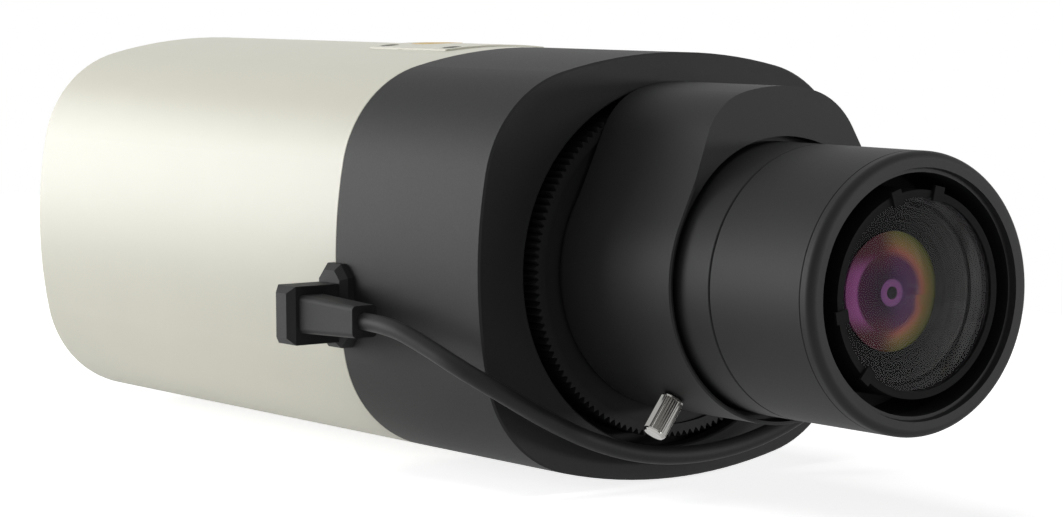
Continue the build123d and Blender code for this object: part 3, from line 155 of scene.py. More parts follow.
def join(tree, source, target, out=0, into=0):
    """Links an output to an input and gives back the node that was fed."""
    tree.links.new(source.outputs[out], target.inputs[into])
    return target


def in_view(tree):
    """1 for what the camera sees directly, mirrored or through glass, and 0 for other rays."""
    path = put(tree, "ShaderNodeLightPath")
    mirrored = put(tree, "ShaderNodeMath", operation="MAXIMUM")
    tree.links.new(path.outputs["Is Camera Ray"], mirrored.inputs[0])
    tree.links.new(path.outputs["Is Glossy Ray"], mirrored.inputs[1])
    seen = put(tree, "ShaderNodeMath", operation="MAXIMUM")
    tree.links.new(mirrored.outputs[0], seen.inputs[0])
    tree.links.new(path.outputs["Is Transmission Ray"], seen.inputs[1])
    return seen


world = bpy.data.worlds.new("studio")
scene.world = world
tree = shader_tree(world)
seen = put(tree, "ShaderNodeBackground", Color=white)
lighting = put(tree, "ShaderNodeBackground", Color=white, Strength=fill_strength)
mix = put(tree, "ShaderNodeMixShader")
join(tree, in_view(tree), mix)
join(tree, lighting, mix, into=1)
join(tree, seen, mix, into=2)
join(tree, mix, put(tree, "ShaderNodeOutputWorld"))


def softbox(name, place, target, width, tall, power, mirrored=True):
    """An area lamp that faces a point. Unmirrored, it gives light but no reflection."""
    lamp = bpy.data.lights.new(name, "AREA")
    lamp.shape = "RECTANGLE"
    lamp.size = width
    lamp.size_y = tall
    lamp.energy = power
    holder = bpy.data.objects.new(name, lamp)
    holder.location = place
    holder.rotation_euler = (Vector(target) - Vector(place)).to_track_quat("-Z", "Y").to_euler()
    holder.visible_glossy = mirrored
    collection.objects.link(holder)
    return holder


middle_of_body = at(0, 50, 0)
lens_mouth = at(0, -55, 0)
softbox("grazing_box", at(-430, 950, 150), middle_of_body, 0.55, 0.65, 4.6)
softbox("side_box", at(-650, 760, 30), middle_of_body, 0.5, 0.5, 5.8)
softbox("overhead_box", at(-130, 70, 500), middle_of_body, 0.36, 0.5, 1.6, mirrored=False)
softbox("lens_light", at(-270, -900, 60), lens_mouth, 0.3, 0.3, 0.55)
softbox("glint_box", at(900, -430, 330), lens_mouth, 0.08, 0.16, 0.25)
right_boxes = [
    softbox("high_right_box", at(610, -870, 330), at(0, -28, 20), 0.40, 0.24, 2.0),
    softbox("low_right_box", at(640, -860, 10), at(0, -28, -10), 0.40, 0.09, 3.2),
]
lens_group = bpy.data.collections.new("kept_out_of_the_right_boxes")
for name in ("front_element", "second_element", "lens_baffle"):
    lens_group.objects.link(nodes[name])
for entry in lens_group.collection_objects:
    entry.light_linking.link_state = "EXCLUDE"
for box in right_boxes:
    box.light_linking.receiver_collection = lens_group

# %% [markdown]
# The floor is a plain pale sheet just under the camera's lowest point. It glows a little
# less than white and takes the rest from the lamps, so it shows as white but keeps a soft
# shadow under the object, and it draws the bright lines along the lower edges.

# %% The floor
floor_left, floor_right, floor_front, floor_back = -0.60, 0.22, -0.25, 0.60
floor_glow, floor_grey = 0.8, 0.85
floor_gap = 0.2
floor_level = cad_box[0][2] - floor_gap * MM
floor_mesh = bpy.data.meshes.new("floor")
floor_mesh.from_pydata(
    [
        (floor_left, floor_front, floor_level),
        (floor_right, floor_front, floor_level),
        (floor_right, floor_back, floor_level),
        (floor_left, floor_back, floor_level),
    ],
    [],
    [(0, 1, 2, 3)],
)
floor = bpy.data.objects.new("floor", floor_mesh)
collection.objects.link(floor)
paper = bpy.data.materials.new("pale_floor")
tree = shader_tree(paper)
pale = put(tree, "ShaderNodeBsdfDiffuse", Color=(floor_grey, floor_grey, floor_grey, 1))
glow = put(tree, "ShaderNodeEmission", Color=white)
strength = put(tree, "ShaderNodeMath", operation="MULTIPLY")
strength.inputs[1].default_value = floor_glow
join(tree, in_view(tree), strength)
join(tree, strength, glow, into="Strength")
both = put(tree, "ShaderNodeAddShader")
join(tree, pale, both)
join(tree, glow, both, into=1)
join(tree, both, put(tree, "ShaderNodeOutputMaterial"))
floor_mesh.materials.append(paper)
print("floor at", round(floor_level * 1000, 1), "mm")

# %% [markdown]
# Most finishes here are painted or moulded surfaces. They share one recipe: a base colour
# that wanders very slightly, a roughness that wanders with it, and a fine bump. What makes
# powder coat, moulded plastic and anodised metal look different is only the scale and the
# strength of those three, so one function makes them all.

# %% One recipe for moulded, painted and coated surfaces
materials = {}


def finish(name, color, rough, grain, bump, specular=0.5, metal=0.0, mottle=0.04, rough_swing=0.06):
    """A surface with a grain of a size in millimetres and a bump of a depth in millimetres."""
    material = bpy.data.materials.new(name)
    tree = shader_tree(material)
    place = put(tree, "ShaderNodeTexCoord")
    fine = put(tree, "ShaderNodeTexNoise", Scale=1000 / grain, Detail=3.0, Roughness=0.6)
    join(tree, place, fine, out="Object", into="Vector")
    broad = put(tree, "ShaderNodeTexNoise", Scale=55.0, Detail=2.0)
    join(tree, place, broad, out="Object", into="Vector")
    tint = put(tree, "ShaderNodeValToRGB")
    tint.color_ramp.elements[0].position = 0.3
    tint.color_ramp.elements[1].position = 0.7
    tint.color_ramp.elements[0].color = [c * (1 - mottle) for c in color] + [1]
    tint.color_ramp.elements[1].color = [min(1, c * (1 + mottle)) for c in color] + [1]
    join(tree, broad, tint, into="Fac")
    spread = put(tree, "ShaderNodeMapRange")
    spread.inputs["To Min"].default_value = max(0, rough - rough_swing)
    spread.inputs["To Max"].default_value = min(1, rough + rough_swing)
    join(tree, fine, spread)
    relief = put(tree, "ShaderNodeBump", Strength=1.0, Distance=bump * MM)
    join(tree, fine, relief, into="Height")
    surface = put(tree, "ShaderNodeBsdfPrincipled")
    surface.inputs["Metallic"].default_value = metal
    surface.inputs["Specular IOR Level"].default_value = specular
    join(tree, tint, surface, into="Base Color")
    join(tree, spread, surface, into="Roughness")
    join(tree, relief, surface, into="Normal")
    join(tree, surface, put(tree, "ShaderNodeOutputMaterial"))
    materials[name] = material
    return material


finish("ivory_paint", (0.63, 0.62, 0.525), 0.42, 0.5, 0.008, specular=0.4, mottle=0.008)
finish("bezel_black", (0.006, 0.006, 0.0062), 0.60, 0.35, 0.010, specular=0.22)
finish("lens_satin_black", (0.006, 0.006, 0.0062), 0.57, 0.25, 0.004, specular=0.22)
finish("lens_inner_black", (0.006, 0.006, 0.006), 0.75, 0.3, 0.0003, specular=0.08)
finish("lens_base_black", (0.006, 0.006, 0.0062), 0.60, 0.25, 0.004, specular=0.24)
finish("ring_black", (0.006, 0.006, 0.0062), 0.62, 0.3, 0.004, specular=0.2)
finish("cable_black", (0.008, 0.008, 0.0083), 0.58, 0.4, 0.006, specular=0.22)
finish("plug_black", (0.008, 0.008, 0.0083), 0.60, 0.35, 0.006, specular=0.2)
finish("nickel", (0.46, 0.455, 0.44), 0.26, 0.3, 0.001, metal=1.0)
finish("polished_steel", (0.36, 0.355, 0.34), 0.12, 0.3, 0.0005, metal=1.0, rough_swing=0.03)
finish("brass", (0.55, 0.40, 0.17), 0.30, 0.3, 0.001, metal=1.0)
finish("steel", (0.42, 0.42, 0.43), 0.34, 0.3, 0.001, metal=1.0)
finish("blackened_screw", (0.06, 0.06, 0.062), 0.38, 0.3, 0.002, metal=1.0)
finish("cast_aluminium", (0.62, 0.62, 0.63), 0.42, 0.4, 0.006, metal=1.0)
finish("board_green", (0.02, 0.13, 0.055), 0.38, 0.6, 0.004)
finish("chip_black", (0.02, 0.02, 0.022), 0.55, 0.3, 0.004)
finish("sensor_dark", (0.03, 0.02, 0.06), 0.12, 0.3, 0.0005)
finish("terminal_green", (0.03, 0.26, 0.09), 0.40, 0.4, 0.006)
finish("insulator_white", (0.82, 0.82, 0.80), 0.5, 0.4, 0.004)
finish("guide_clear", (0.35, 0.55, 0.36), 0.18, 0.4, 0.002)
finish("button_grey", (0.16, 0.16, 0.165), 0.5, 0.3, 0.006)
print("finishes", len(materials))

# %% [markdown]
# Clear glass needs no texture, but its coating does show: it tints what the glass mirrors.
# The front element is nearly invisible from most sides. The second element sits deep in
# the lens, and its coating shows as a sweep from violet to amber to green. That sweep is a
# painted reflection: the colours the coating mirrors are painted into its base colour. Two
# ramps run outwards from its centre, a bright one on the right, which is painted highlight,
# and a dark one on the left, which is painted shade, where the violet stays near the middle
# and fades to a dark red above and below. The black dot at the centre is painted shade.

# %% Glass


def clear_glass(name, color, coat_tint):
    """Clear optical glass with a tinted coating. Light falls through it onto what is behind."""
    material = bpy.data.materials.new(name)
    tree = shader_tree(material)
    surface = put(tree, "ShaderNodeBsdfPrincipled", Roughness=0.0, IOR=1.45)
    surface.inputs["Base Color"].default_value = (*color, 1)
    surface.inputs["Transmission Weight"].default_value = 1.0
    surface.inputs["Specular Tint"].default_value = (*coat_tint, 1)
    clear = put(tree, "ShaderNodeBsdfTransparent")
    path = put(tree, "ShaderNodeLightPath")
    mix = put(tree, "ShaderNodeMixShader")
    join(tree, path, mix, out="Is Shadow Ray")
    join(tree, surface, mix, into=1)
    join(tree, clear, mix, into=2)
    join(tree, mix, put(tree, "ShaderNodeOutputMaterial"))
    materials[name] = material
    return material


clear_glass("front_glass", (0.97, 0.98, 0.97), (0.03, 0.025, 0.035))
clear_glass("inner_glass", (0.85, 0.88, 0.90), (0.6, 0.9, 0.6))
clear_glass("ir_filter_glass", (0.75, 0.45, 0.5), (0.9, 0.5, 0.5))


def ramp(tree, *stops):
    """A colour ramp from (position, red, green, blue) stops."""
    node = put(tree, "ShaderNodeValToRGB")
    points = node.color_ramp.elements
    for number, (position, *color) in enumerate(stops):
        point = points[number] if number < 2 else points.new(position)
        point.position = position
        point.color = (*color, 1)
    return node


coating_centre, coating_radius = at(-1.2, -52, 0), 10.0
# The second element's coating colours are a painted reflection in its base colour.
coated = bpy.data.materials.new("coating_painted_reflection")
tree = shader_tree(coated)
place = put(tree, "ShaderNodeTexCoord")
centre = put(tree, "ShaderNodeVectorMath", operation="SUBTRACT")
centre.inputs[1].default_value = coating_centre
join(tree, place, centre, out="Object")
flat = put(tree, "ShaderNodeVectorMath", operation="MULTIPLY")
flat.inputs[1].default_value = (1, 0, 1)
join(tree, centre, flat)
radius = put(tree, "ShaderNodeVectorMath", operation="LENGTH")
join(tree, flat, radius)
share = put(tree, "ShaderNodeMapRange")
share.inputs["From Max"].default_value = coating_radius * MM
join(tree, radius, share, out="Value")
# The near-black dot at the centre is painted shade for the dark opening behind the element.
painted_shade_dot = (0.002, 0.001, 0.004)
violet, deep_violet = (0.16, 0.05, 0.16), (0.13, 0.04, 0.14)
# This ramp is the bright right side of the painted reflection, a painted highlight.
rings = ramp(
    tree,
    (0.0, *painted_shade_dot),
    (1.0, 0.006, 0.007, 0.003),
    (0.09, *painted_shade_dot),
    (0.10, *violet),
    (0.19, *deep_violet),
    (0.21, 0.035, 0.005, 0.05),
    (0.50, 0.05, 0.006, 0.045),
    (0.62, 0.24, 0.07, 0.045),
    (0.72, 0.17, 0.10, 0.03),
    (0.90, 0.09, 0.09, 0.02),
)
join(tree, share, rings)
# This ramp is the dark left side of the painted reflection, painted shade.
painted_shade_rings = ramp(
    tree,
    (0.0, *painted_shade_dot),
    (1.0, 0.008, 0.002, 0.004),
    (0.09, *painted_shade_dot),
    (0.10, *violet),
    (0.19, *deep_violet),
    (0.21, 0.012, 0.002, 0.012),
    (0.56, 0.035, 0.004, 0.025),
    (0.60, 0.21, 0.05, 0.18),
    (0.88, 0.12, 0.02, 0.08),
)
join(tree, share, painted_shade_rings)
side = put(tree, "ShaderNodeSeparateXYZ")
join(tree, flat, side)
# A mask from the painted shade on the left to the painted highlight on the right.
painted_lit_side = put(tree, "ShaderNodeMapRange", interpolation_type="SMOOTHSTEP")
painted_lit_side.inputs["From Min"].default_value = -2.0 * MM
painted_lit_side.inputs["From Max"].default_value = 3.0 * MM
join(tree, side, painted_lit_side, out="X")
height = put(tree, "ShaderNodeMath", operation="ABSOLUTE")
join(tree, side, height, out="Z")
off_middle = put(tree, "ShaderNodeMapRange", interpolation_type="SMOOTHSTEP")
off_middle.inputs["From Min"].default_value = 2.5 * MM
off_middle.inputs["From Max"].default_value = 6.2 * MM
join(tree, height, off_middle)


def blend_colors(factor, first, second):
    """A mix of two colour outputs, where 0 gives the first."""
    blend = put(tree, "ShaderNodeMix", data_type="RGBA")
    join(tree, factor, blend)
    tree.links.new(first, blend.inputs[6])
    if isinstance(second, tuple):
        blend.inputs[7].default_value = second
    else:
        tree.links.new(second, blend.inputs[7])
    return blend.outputs[2]


# The painted shade on the left, dark red above and below, and the painted highlight on the right are blended
# into one painted reflection colour.
dark_red = (0.045, 0.006, 0.012, 1)
painted_shade_color = blend_colors(off_middle, painted_shade_rings.outputs[0], dark_red)
painted_reflection_color = blend_colors(painted_lit_side, painted_shade_color, rings.outputs[0])
surface = put(tree, "ShaderNodeBsdfPrincipled", Roughness=0.12)
surface.inputs["Specular IOR Level"].default_value = 0.15
surface.inputs["Metallic"].default_value = 0.12
tree.links.new(painted_reflection_color, surface.inputs["Base Color"])
join(tree, surface, put(tree, "ShaderNodeOutputMaterial"))
materials["coating_painted_reflection"] = coated

# %% [markdown]
# Each piece of the engineering model now gets its finish. A dictionary reads like a parts
# list with a paint column.

# %% Dress the pieces of the model
dress = {
    "ivory_paint": ("rear_housing", "top_mount_plate", "bottom_mount_plate"),
    "bezel_black": ("front_bezel", "rear_panel"),
    "lens_satin_black": ("zoom_ring", "focus_ring", "front_trim_ring"),
    "lens_base_black": ("lens_base", "motor_cover"),
    "lens_inner_black": (
        "front_lens_cell", "lens_baffle", "focus_guide_tube", "iris_housing", "iris_cover",
        "iris_blade_upper", "iris_blade_lower", "rear_lens_cell", "sensor_holder", "filter_carriage",
    ),
    "ring_black": ("back_focus_ring",),
    "cable_black": ("iris_cable", "cable_relief"),
    "plug_black": ("iris_plug", "iris_socket", "audio_jacks"),
    "nickel": ("zoom_lock_screw", "network_jack", "video_connector", "card_slot"),
    "brass": ("tripod_inserts", "panel_standoffs", "video_pin"),
    "steel": ("guide_posts", "frame_screws", "iris_lever", "board_screws", "terminal_screws"),
    "blackened_screw": ("plate_screws", "bezel_screws", "panel_screws"),
    "cast_aluminium": ("lens_mount", "sensor_frame", "heat_sink"),
    "board_green": ("main_board", "rear_board", "sensor_board"),
    "chip_black": ("board_chips", "iris_motor"),
    "sensor_dark": ("image_sensor",),
    "terminal_green": ("terminal_blocks",),
    "insulator_white": ("video_insulator",),
    "guide_clear": ("status_lights",),
    "button_grey": ("reset_button",),
    "front_glass": ("front_element",),
    "inner_glass": ("rear_element", "clear_filter"),
    "ir_filter_glass": ("ir_cut_filter",),
    "coating_painted_reflection": ("second_element",),
}
for finish_name, names in dress.items():
    for name in names:
        mesh = nodes[name].data
        mesh.materials.clear()
        mesh.materials.append(materials[finish_name])
undressed = set(nodes) - {name for names in dress.values() for name in names}
print("undressed", sorted(undressed))

# %% [markdown]
# What repeats is made by small node trees. One tree sets copies of a piece on a circle,
# which gives the flutes of the thumb screw. The other sets copies on given points, which
# gives the screws, with a turn of their own each, as a screwdriver leaves them. Both end
# in real, plain geometry.

# %% Two node trees for things that repeat


def new_tree(name, *sockets):
    """A geometry tree with named inputs, given as name, socket kind and value."""
    tree = bpy.data.node_groups.new(name, "GeometryNodeTree")
    tree.interface.new_socket("Geometry", in_out="INPUT", socket_type="NodeSocketGeometry")
    for label, kind, value in sockets:
        socket = tree.interface.new_socket(label, in_out="INPUT", socket_type="NodeSocket" + kind)
        if value is not None:
            socket.default_value = value
    tree.interface.new_socket("Geometry", in_out="OUTPUT", socket_type="NodeSocketGeometry")
    return tree, tree.nodes.new("NodeGroupInput"), tree.nodes.new("NodeGroupOutput")


def close_tree(tree, inputs, outputs, last, out="Instances"):
    """Turns the instances into plain geometry with the given material."""
    real = put(tree, "GeometryNodeRealizeInstances")
    paint = put(tree, "GeometryNodeSetMaterial")
    tree.links.new(last.outputs[out], real.inputs[0])
    tree.links.new(real.outputs[0], paint.inputs[0])
    tree.links.new(inputs.outputs["Material"], paint.inputs["Material"])
    tree.links.new(paint.outputs[0], outputs.inputs[0])


common = (("Piece", "Object", None), ("Material", "Material", None))
on_circle, inputs, outputs = new_tree(
    "on_circle", ("Count", "Int", 30), ("Radius", "Float", 0.001), *common
)
ring = put(on_circle, "GeometryNodeMeshCircle")
on_circle.links.new(inputs.outputs["Count"], ring.inputs["Vertices"])
on_circle.links.new(inputs.outputs["Radius"], ring.inputs["Radius"])
index = put(on_circle, "GeometryNodeInputIndex")
share = put(on_circle, "ShaderNodeMath", operation="DIVIDE")
on_circle.links.new(index.outputs[0], share.inputs[0])
on_circle.links.new(inputs.outputs["Count"], share.inputs[1])
whole = put(on_circle, "ShaderNodeMath", operation="MULTIPLY")
whole.inputs[1].default_value = 2 * pi
on_circle.links.new(share.outputs[0], whole.inputs[0])
spin = put(on_circle, "ShaderNodeCombineXYZ")
on_circle.links.new(whole.outputs[0], spin.inputs["Z"])
piece = put(on_circle, "GeometryNodeObjectInfo")
on_circle.links.new(inputs.outputs["Piece"], piece.inputs["Object"])
copies = put(on_circle, "GeometryNodeInstanceOnPoints")
on_circle.links.new(ring.outputs[0], copies.inputs["Points"])
on_circle.links.new(piece.outputs["Geometry"], copies.inputs["Instance"])
on_circle.links.new(spin.outputs[0], copies.inputs["Rotation"])
both = put(on_circle, "GeometryNodeJoinGeometry")
on_circle.links.new(copies.outputs[0], both.inputs[0])
on_circle.links.new(inputs.outputs["Geometry"], both.inputs[0])
close_tree(on_circle, inputs, outputs, both, out=0)

on_points, inputs, outputs = new_tree(
    "on_points", ("Tilt", "Vector", (0, 0, 0)), ("Spread", "Float", 0.0), ("Seed", "Int", 7), *common
)
piece = put(on_points, "GeometryNodeObjectInfo")
on_points.links.new(inputs.outputs["Piece"], piece.inputs["Object"])
chance = put(on_points, "FunctionNodeRandomValue", data_type="FLOAT")
on_points.links.new(inputs.outputs["Spread"], chance.inputs[3])
on_points.links.new(inputs.outputs["Seed"], chance.inputs["Seed"])
own_turn = put(on_points, "ShaderNodeCombineXYZ")
on_points.links.new(chance.outputs[1], own_turn.inputs["Z"])
copies = put(on_points, "GeometryNodeInstanceOnPoints")
on_points.links.new(inputs.outputs["Geometry"], copies.inputs["Points"])
on_points.links.new(piece.outputs["Geometry"], copies.inputs["Instance"])
on_points.links.new(inputs.outputs["Tilt"], copies.inputs["Rotation"])
turned_copies = put(on_points, "GeometryNodeRotateInstances")
on_points.links.new(copies.outputs[0], turned_copies.inputs["Instances"])
on_points.links.new(own_turn.outputs[0], turned_copies.inputs["Rotation"])
close_tree(on_points, inputs, outputs, turned_copies)
print("trees", on_circle.name, on_points.name)

# %% [markdown]
# A few helpers turn plain numbers into meshes. A turned piece is a half section spun about
# Z, as on a lathe. A recess is cut out of a screw's head with a boolean, the way a punch
# forms it. The places of the screws are read from the model, so nothing is written twice.

# %% Lathe, punch and copies


def as_object(name, mesh):
    """Links a mesh or a curve into the scene as an object."""
    item = bpy.data.objects.new(name, mesh)
    collection.objects.link(item)
    return item


def spun(name, section, around=64):
    """A closed turned piece from (radius, height) pairs in millimetres."""
    vertices, faces, rings = [], [], []
    for radius, high in section:
        if radius == 0:
            rings.append([len(vertices)] * around)
            vertices.append((0, 0, high * MM))
        else:
            rings.append(list(range(len(vertices), len(vertices) + around)))
            for step in range(around):
                turn_by = 2 * pi * step / around
                vertices.append((radius * MM * cos(turn_by), radius * MM * sin(turn_by), high * MM))
    for low, top in zip(rings, rings[1:]):
        for step in range(around):
            after = (step + 1) % around
            corner = list(dict.fromkeys((low[step], low[after], top[after], top[step])))
            if len(corner) > 2:
                faces.append(corner)
    mesh = bpy.data.meshes.new(name)
    mesh.from_pydata(vertices, [], faces)
    mesh.update()
    return mesh


def settled(item, name, sharp=35):
    """The evaluated result as a plain mesh object, with the helper removed."""
    shape = item.evaluated_get(bpy.context.evaluated_depsgraph_get())
    mesh = bpy.data.meshes.new_from_object(shape)
    mesh.transform(item.matrix_world)
    bpy.data.objects.remove(item)
    mesh.shade_smooth()
    mesh.set_sharp_from_angle(angle=radians(sharp))
    return as_object(name, mesh)


def punched(head, cutters, name):
    """The head with the cutters' shapes taken out of it."""
    item = as_object(name, head)
    for cutter in cutters:
        cut = item.modifiers.new("punch", "BOOLEAN")
        cut.object = cutter
        cut.solver = "EXACT"
    result = settled(item, name)
    for cutter in cutters:
        bpy.data.objects.remove(cutter)
    return result


def blade(long, wide, top, bottom, narrow=0.6):
    """A tapered bar for a recess, along X, in millimetres."""
    corners = []
    for high, scale in ((top, 1.0), (bottom, narrow)):
        for x, y in ((-1, -1), (1, -1), (1, 1), (-1, 1)):
            corners.append((x * long / 2 * scale * MM, y * wide / 2 * MM, high * MM))
    mesh = bpy.data.meshes.new("blade")
    mesh.from_pydata(
        corners, [], [(0, 1, 2, 3), (7, 6, 5, 4), (0, 4, 5, 1), (1, 5, 6, 2), (2, 6, 7, 3), (3, 7, 4, 0)]
    )
    mesh.update()
    return as_object("blade", mesh)


def cross_blades(long, wide, top, bottom):
    """Two tapered bars at a right angle, for a cross recess."""
    second = blade(long, wide, top, bottom)
    second.rotation_euler = (0, 0, pi / 2)
    return [blade(long, wide, top, bottom), second]


def repeat(points, tree, material, name, **values):
    """Runs a tree on a cloud of points and gives the result as a plain object."""
    mesh = points
    if not isinstance(points, bpy.types.Mesh):
        mesh = bpy.data.meshes.new(name)
        mesh.from_pydata([tuple(point) for point in points], [], [])
    item = as_object(name, mesh)
    run = item.modifiers.new("repeat", "NODES")
    run.node_group = tree
    sockets = [socket for socket in tree.interface.items_tree if socket.in_out == "INPUT"]
    identifiers = {socket.name: socket.identifier for socket in sockets}
    for label, value in dict(values, Material=materials[material]).items():
        run[identifiers[label]] = value
    item.data.update()
    return settled(item, name)


def loose_boxes(node):
    """The lowest and the highest corner of each loose part of a model node, left to right."""
    shape = bmesh.new()
    shape.from_mesh(nodes[node].data)
    bmesh.ops.remove_doubles(shape, verts=shape.verts, dist=1e-6)
    shape.verts.ensure_lookup_table()
    waiting, boxes = set(shape.verts), []
    while waiting:
        front, group = [waiting.pop()], []
        while front:
            vertex = front.pop()
            group.append(vertex.co.copy())
            for edge in vertex.link_edges:
                other = edge.other_vert(vertex)
                if other in waiting:
                    waiting.discard(other)
                    front.append(other)
        lowest = Vector([min(v[i] for v in group) for i in range(3)])
        highest = Vector([max(v[i] for v in group) for i in range(3)])
        boxes.append((lowest, highest))
    shape.free()
    return sorted(boxes, key=lambda box: tuple(box[0]))


def centre_at(box, **set_at):
    """The middle of a box, with the coordinates given by name put at a value."""
    low, high = box
    return tuple(set_at.get(axis, (low[i] + high[i]) / 2) for i, axis in enumerate("xyz"))


def fit_in(item, node, body="root"):
    """Hides a node of the model and hangs the piece that stands for it on a body."""
    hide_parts(node)
    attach(item, body)
    print(item.name, len(item.data.vertices), "vertices for", node)


# %% [markdown]
# Screws come next. The ones that hold the mount plates and the bezel are flat with a cross
# recess, and the rear panel has pan heads. Each kind is made once, with its recess, and the
# tree sets it on all its places.

# %% Cross-headed screws
rim, tip = 0.15, 0.3
blade_rise = 0.3


def flat_screw(head_radius, head, shank_radius, length):
    """A flat head of a height, on a shank that ends in a small chamfer. All in millimetres."""
    section = [
        (0, 0), (head_radius - rim, 0), (head_radius, -rim), (head_radius, -head), (shank_radius, -head),
        (shank_radius, -length + tip), (shank_radius - tip, -length), (0, -length),
    ]
    cutters = cross_blades(head_radius * 1.15, head_radius * 0.26, blade_rise, -head * 0.8)
    return punched(spun("flat_screw", section, 40), cutters, "flat_screw")


def pan_screw(head_radius, head, shank_radius, length):
    """A pan head: a low dome of a few steps on a straight shank. All in millimetres."""
    dome = [(0, head)]
    steps, step_lean = 6, 13
    full_lean = steps * step_lean
    for step in range(1, steps + 1):
        lean = radians(step * step_lean)
        out = head_radius * sin(lean) / sin(radians(full_lean))
        dome.append((out, head * (0.45 + 0.55 * cos(lean * 90 / full_lean))))
    section = dome + [(head_radius, 0), (shank_radius, 0), (shank_radius, -length), (0, -length)]
    cutters = cross_blades(head_radius * 1.2, head_radius * 0.24, head + blade_rise, head * 0.1)
    return punched(spun("pan_screw", section, 40), cutters, "pan_screw")


screw = flat_screw(1.6, 0.8, 0.9, 4.0)
above = [box for box in loose_boxes("plate_screws") if box[1].z > at(0, 0, 0).z]
below = [box for box in loose_boxes("plate_screws") if box[1].z < at(0, 0, 0).z]
upside_down, to_the_rear = (pi, 0, 0), (-pi / 2, 0, 0)
top_row = [centre_at(box, z=box[1].z) for box in above]
low_row = [centre_at(box, z=box[0].z) for box in below]
screws_up = repeat(top_row, on_points, "blackened_screw", "screws_up", Piece=screw, Spread=pi, Seed=3)
screws_down = repeat(
    low_row, on_points, "blackened_screw", "screws_down",
    Piece=screw, Spread=pi, Seed=5, Tilt=upside_down,
)
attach(screws_down, "root")
fit_in(screws_up, "plate_screws")
bpy.data.objects.remove(screw)

screw = flat_screw(1.8, 0.5, 0.95, 3.2)
sunk = 0.35 * MM
spots = [centre_at(box, z=box[0].z + sunk) for box in loose_boxes("bezel_screws")]
holding = repeat(
    spots, on_points, "blackened_screw", "bezel_cross_screws",
    Piece=screw, Spread=pi, Seed=2, Tilt=upside_down,
)
fit_in(holding, "bezel_screws")
bpy.data.objects.remove(screw)

pan_height = 1.4
screw = pan_screw(2.4, pan_height, 1.2, 6.9)
spots = [centre_at(box, y=box[1].y - pan_height * MM) for box in loose_boxes("panel_screws")]
holding = repeat(
    spots, on_points, "blackened_screw", "panel_pan_screws",
    Piece=screw, Spread=pi, Seed=4, Tilt=to_the_rear,
)
fit_in(holding, "panel_screws")
bpy.data.objects.remove(screw)

# %% [markdown]
# The clamping screws of the terminal blocks have a plain slot, as they take a small flat
# driver.

# %% Slotted terminal screws
clamp_radius, clamp_length = 1.2, 2.4
slot_width, slot_depth = 0.45, 0.55
clamp_section = [
    (0, 0), (clamp_radius - rim, 0), (clamp_radius, -rim), (clamp_radius, -clamp_length), (0, -clamp_length),
]
slot = blade(3.0, slot_width, blade_rise, -slot_depth, narrow=1.0)
screw = punched(spun("slotted", clamp_section, 32), [slot], "slotted")
spots = [centre_at(box, y=box[1].y) for box in loose_boxes("terminal_screws")]
slotted = repeat(
    spots, on_points, "steel", "slotted_screws", Piece=screw, Spread=pi, Seed=11, Tilt=to_the_rear
)
fit_in(slotted, "terminal_screws")
bpy.data.objects.remove(screw)

# %% [markdown]
# The zoom lock is a thumb screw: a polished cylinder rolled with fine lengthwise flutes, so
# that two fingers can grip it. The flutes are thin square bars set corner outwards round a
# turned core. It points down and to the left of the lens, like the model's plain one.

# %% The fluted lock screw
screw_angle = radians(36)
flute_count = 24
flute_size = 0.30
flute_slimness = 0.64
head_radius, stem_radius = 1.8, 0.95
stem_from, head_from, head_to = 18.0, 22.05, 28.6
collar_radius = head_radius - 0.06
core = head_radius - flute_size
core_section = [
    (0, stem_from),
    (stem_radius, stem_from),
    (stem_radius, head_from),
    (head_radius - 0.3, head_from),
    (collar_radius, head_from + 0.3),
    (collar_radius, head_from + 0.55),
    (core, head_from + 0.6),
    (core, head_to - 0.6),
    (collar_radius, head_to - 0.55),
    (collar_radius, head_to - 0.3),
    (head_radius - 0.3, head_to),
    (0, head_to),
]
bar = bpy.data.meshes.new("flute")
half_flute = (head_to - head_from - 1.0) / 2
middle = (head_to + head_from) / 2
bar.from_pydata(
    [
        (x * flute_size * MM, y * flute_size * flute_slimness * MM, (middle + z * half_flute) * MM)
        for z in (-1, 1)
        for x, y in ((1, 0), (0, 1), (-1, 0), (0, -1))
    ],
    [],
    [(3, 2, 1, 0), (4, 5, 6, 7), (0, 1, 5, 4), (1, 2, 6, 5), (2, 3, 7, 6), (3, 0, 4, 7)],
)
flute = as_object("flute", bar)
lock = repeat(
    spun("lock_core", core_section, 60), on_circle, "polished_steel", "fluted_lock_screw",
    Piece=flute, Count=flute_count, Radius=core * MM,
)
bpy.data.objects.remove(flute)
screw_depth = -17.2
outward = Vector((-sin(screw_angle), 0, -cos(screw_angle)))
aim = outward.to_track_quat("Z", "Y").to_matrix().to_4x4()
lock.data.transform(Matrix.Translation(at(0, screw_depth, 0)) @ aim)
fit_in(lock, "zoom_lock_screw", "lock_screw")

# %% [markdown]
# The tripod sockets are brass inserts with a real thread. The bore is a grid of rings whose
# radius follows the thread's flank, shifted a little at every step round, which makes the
# helix. The pitch is 1.27 mm, as a quarter-inch tripod screw has.

# %% Threaded tripod inserts
pitch = 1.27
minor_radius, major_radius = 2.6, 3.1
bore_depth, insert_radius, insert_depth = 8.0, 4.4, 9.0
mouth_radius, edge, thread_start = 3.25, 0.12, 0.25
half_crest, flank_width = 0.08, 0.34
around, levels = 48, 64


def thread_radius(turn_share, high):
    """The bore's radius at a share of a turn and a height, in millimetres."""
    phase = (high / pitch - turn_share) % 1.0
    flank = min(1.0, max(0.0, (abs(phase - 0.5) - half_crest) / flank_width))
    return minor_radius + (major_radius - minor_radius) * (1 - flank)


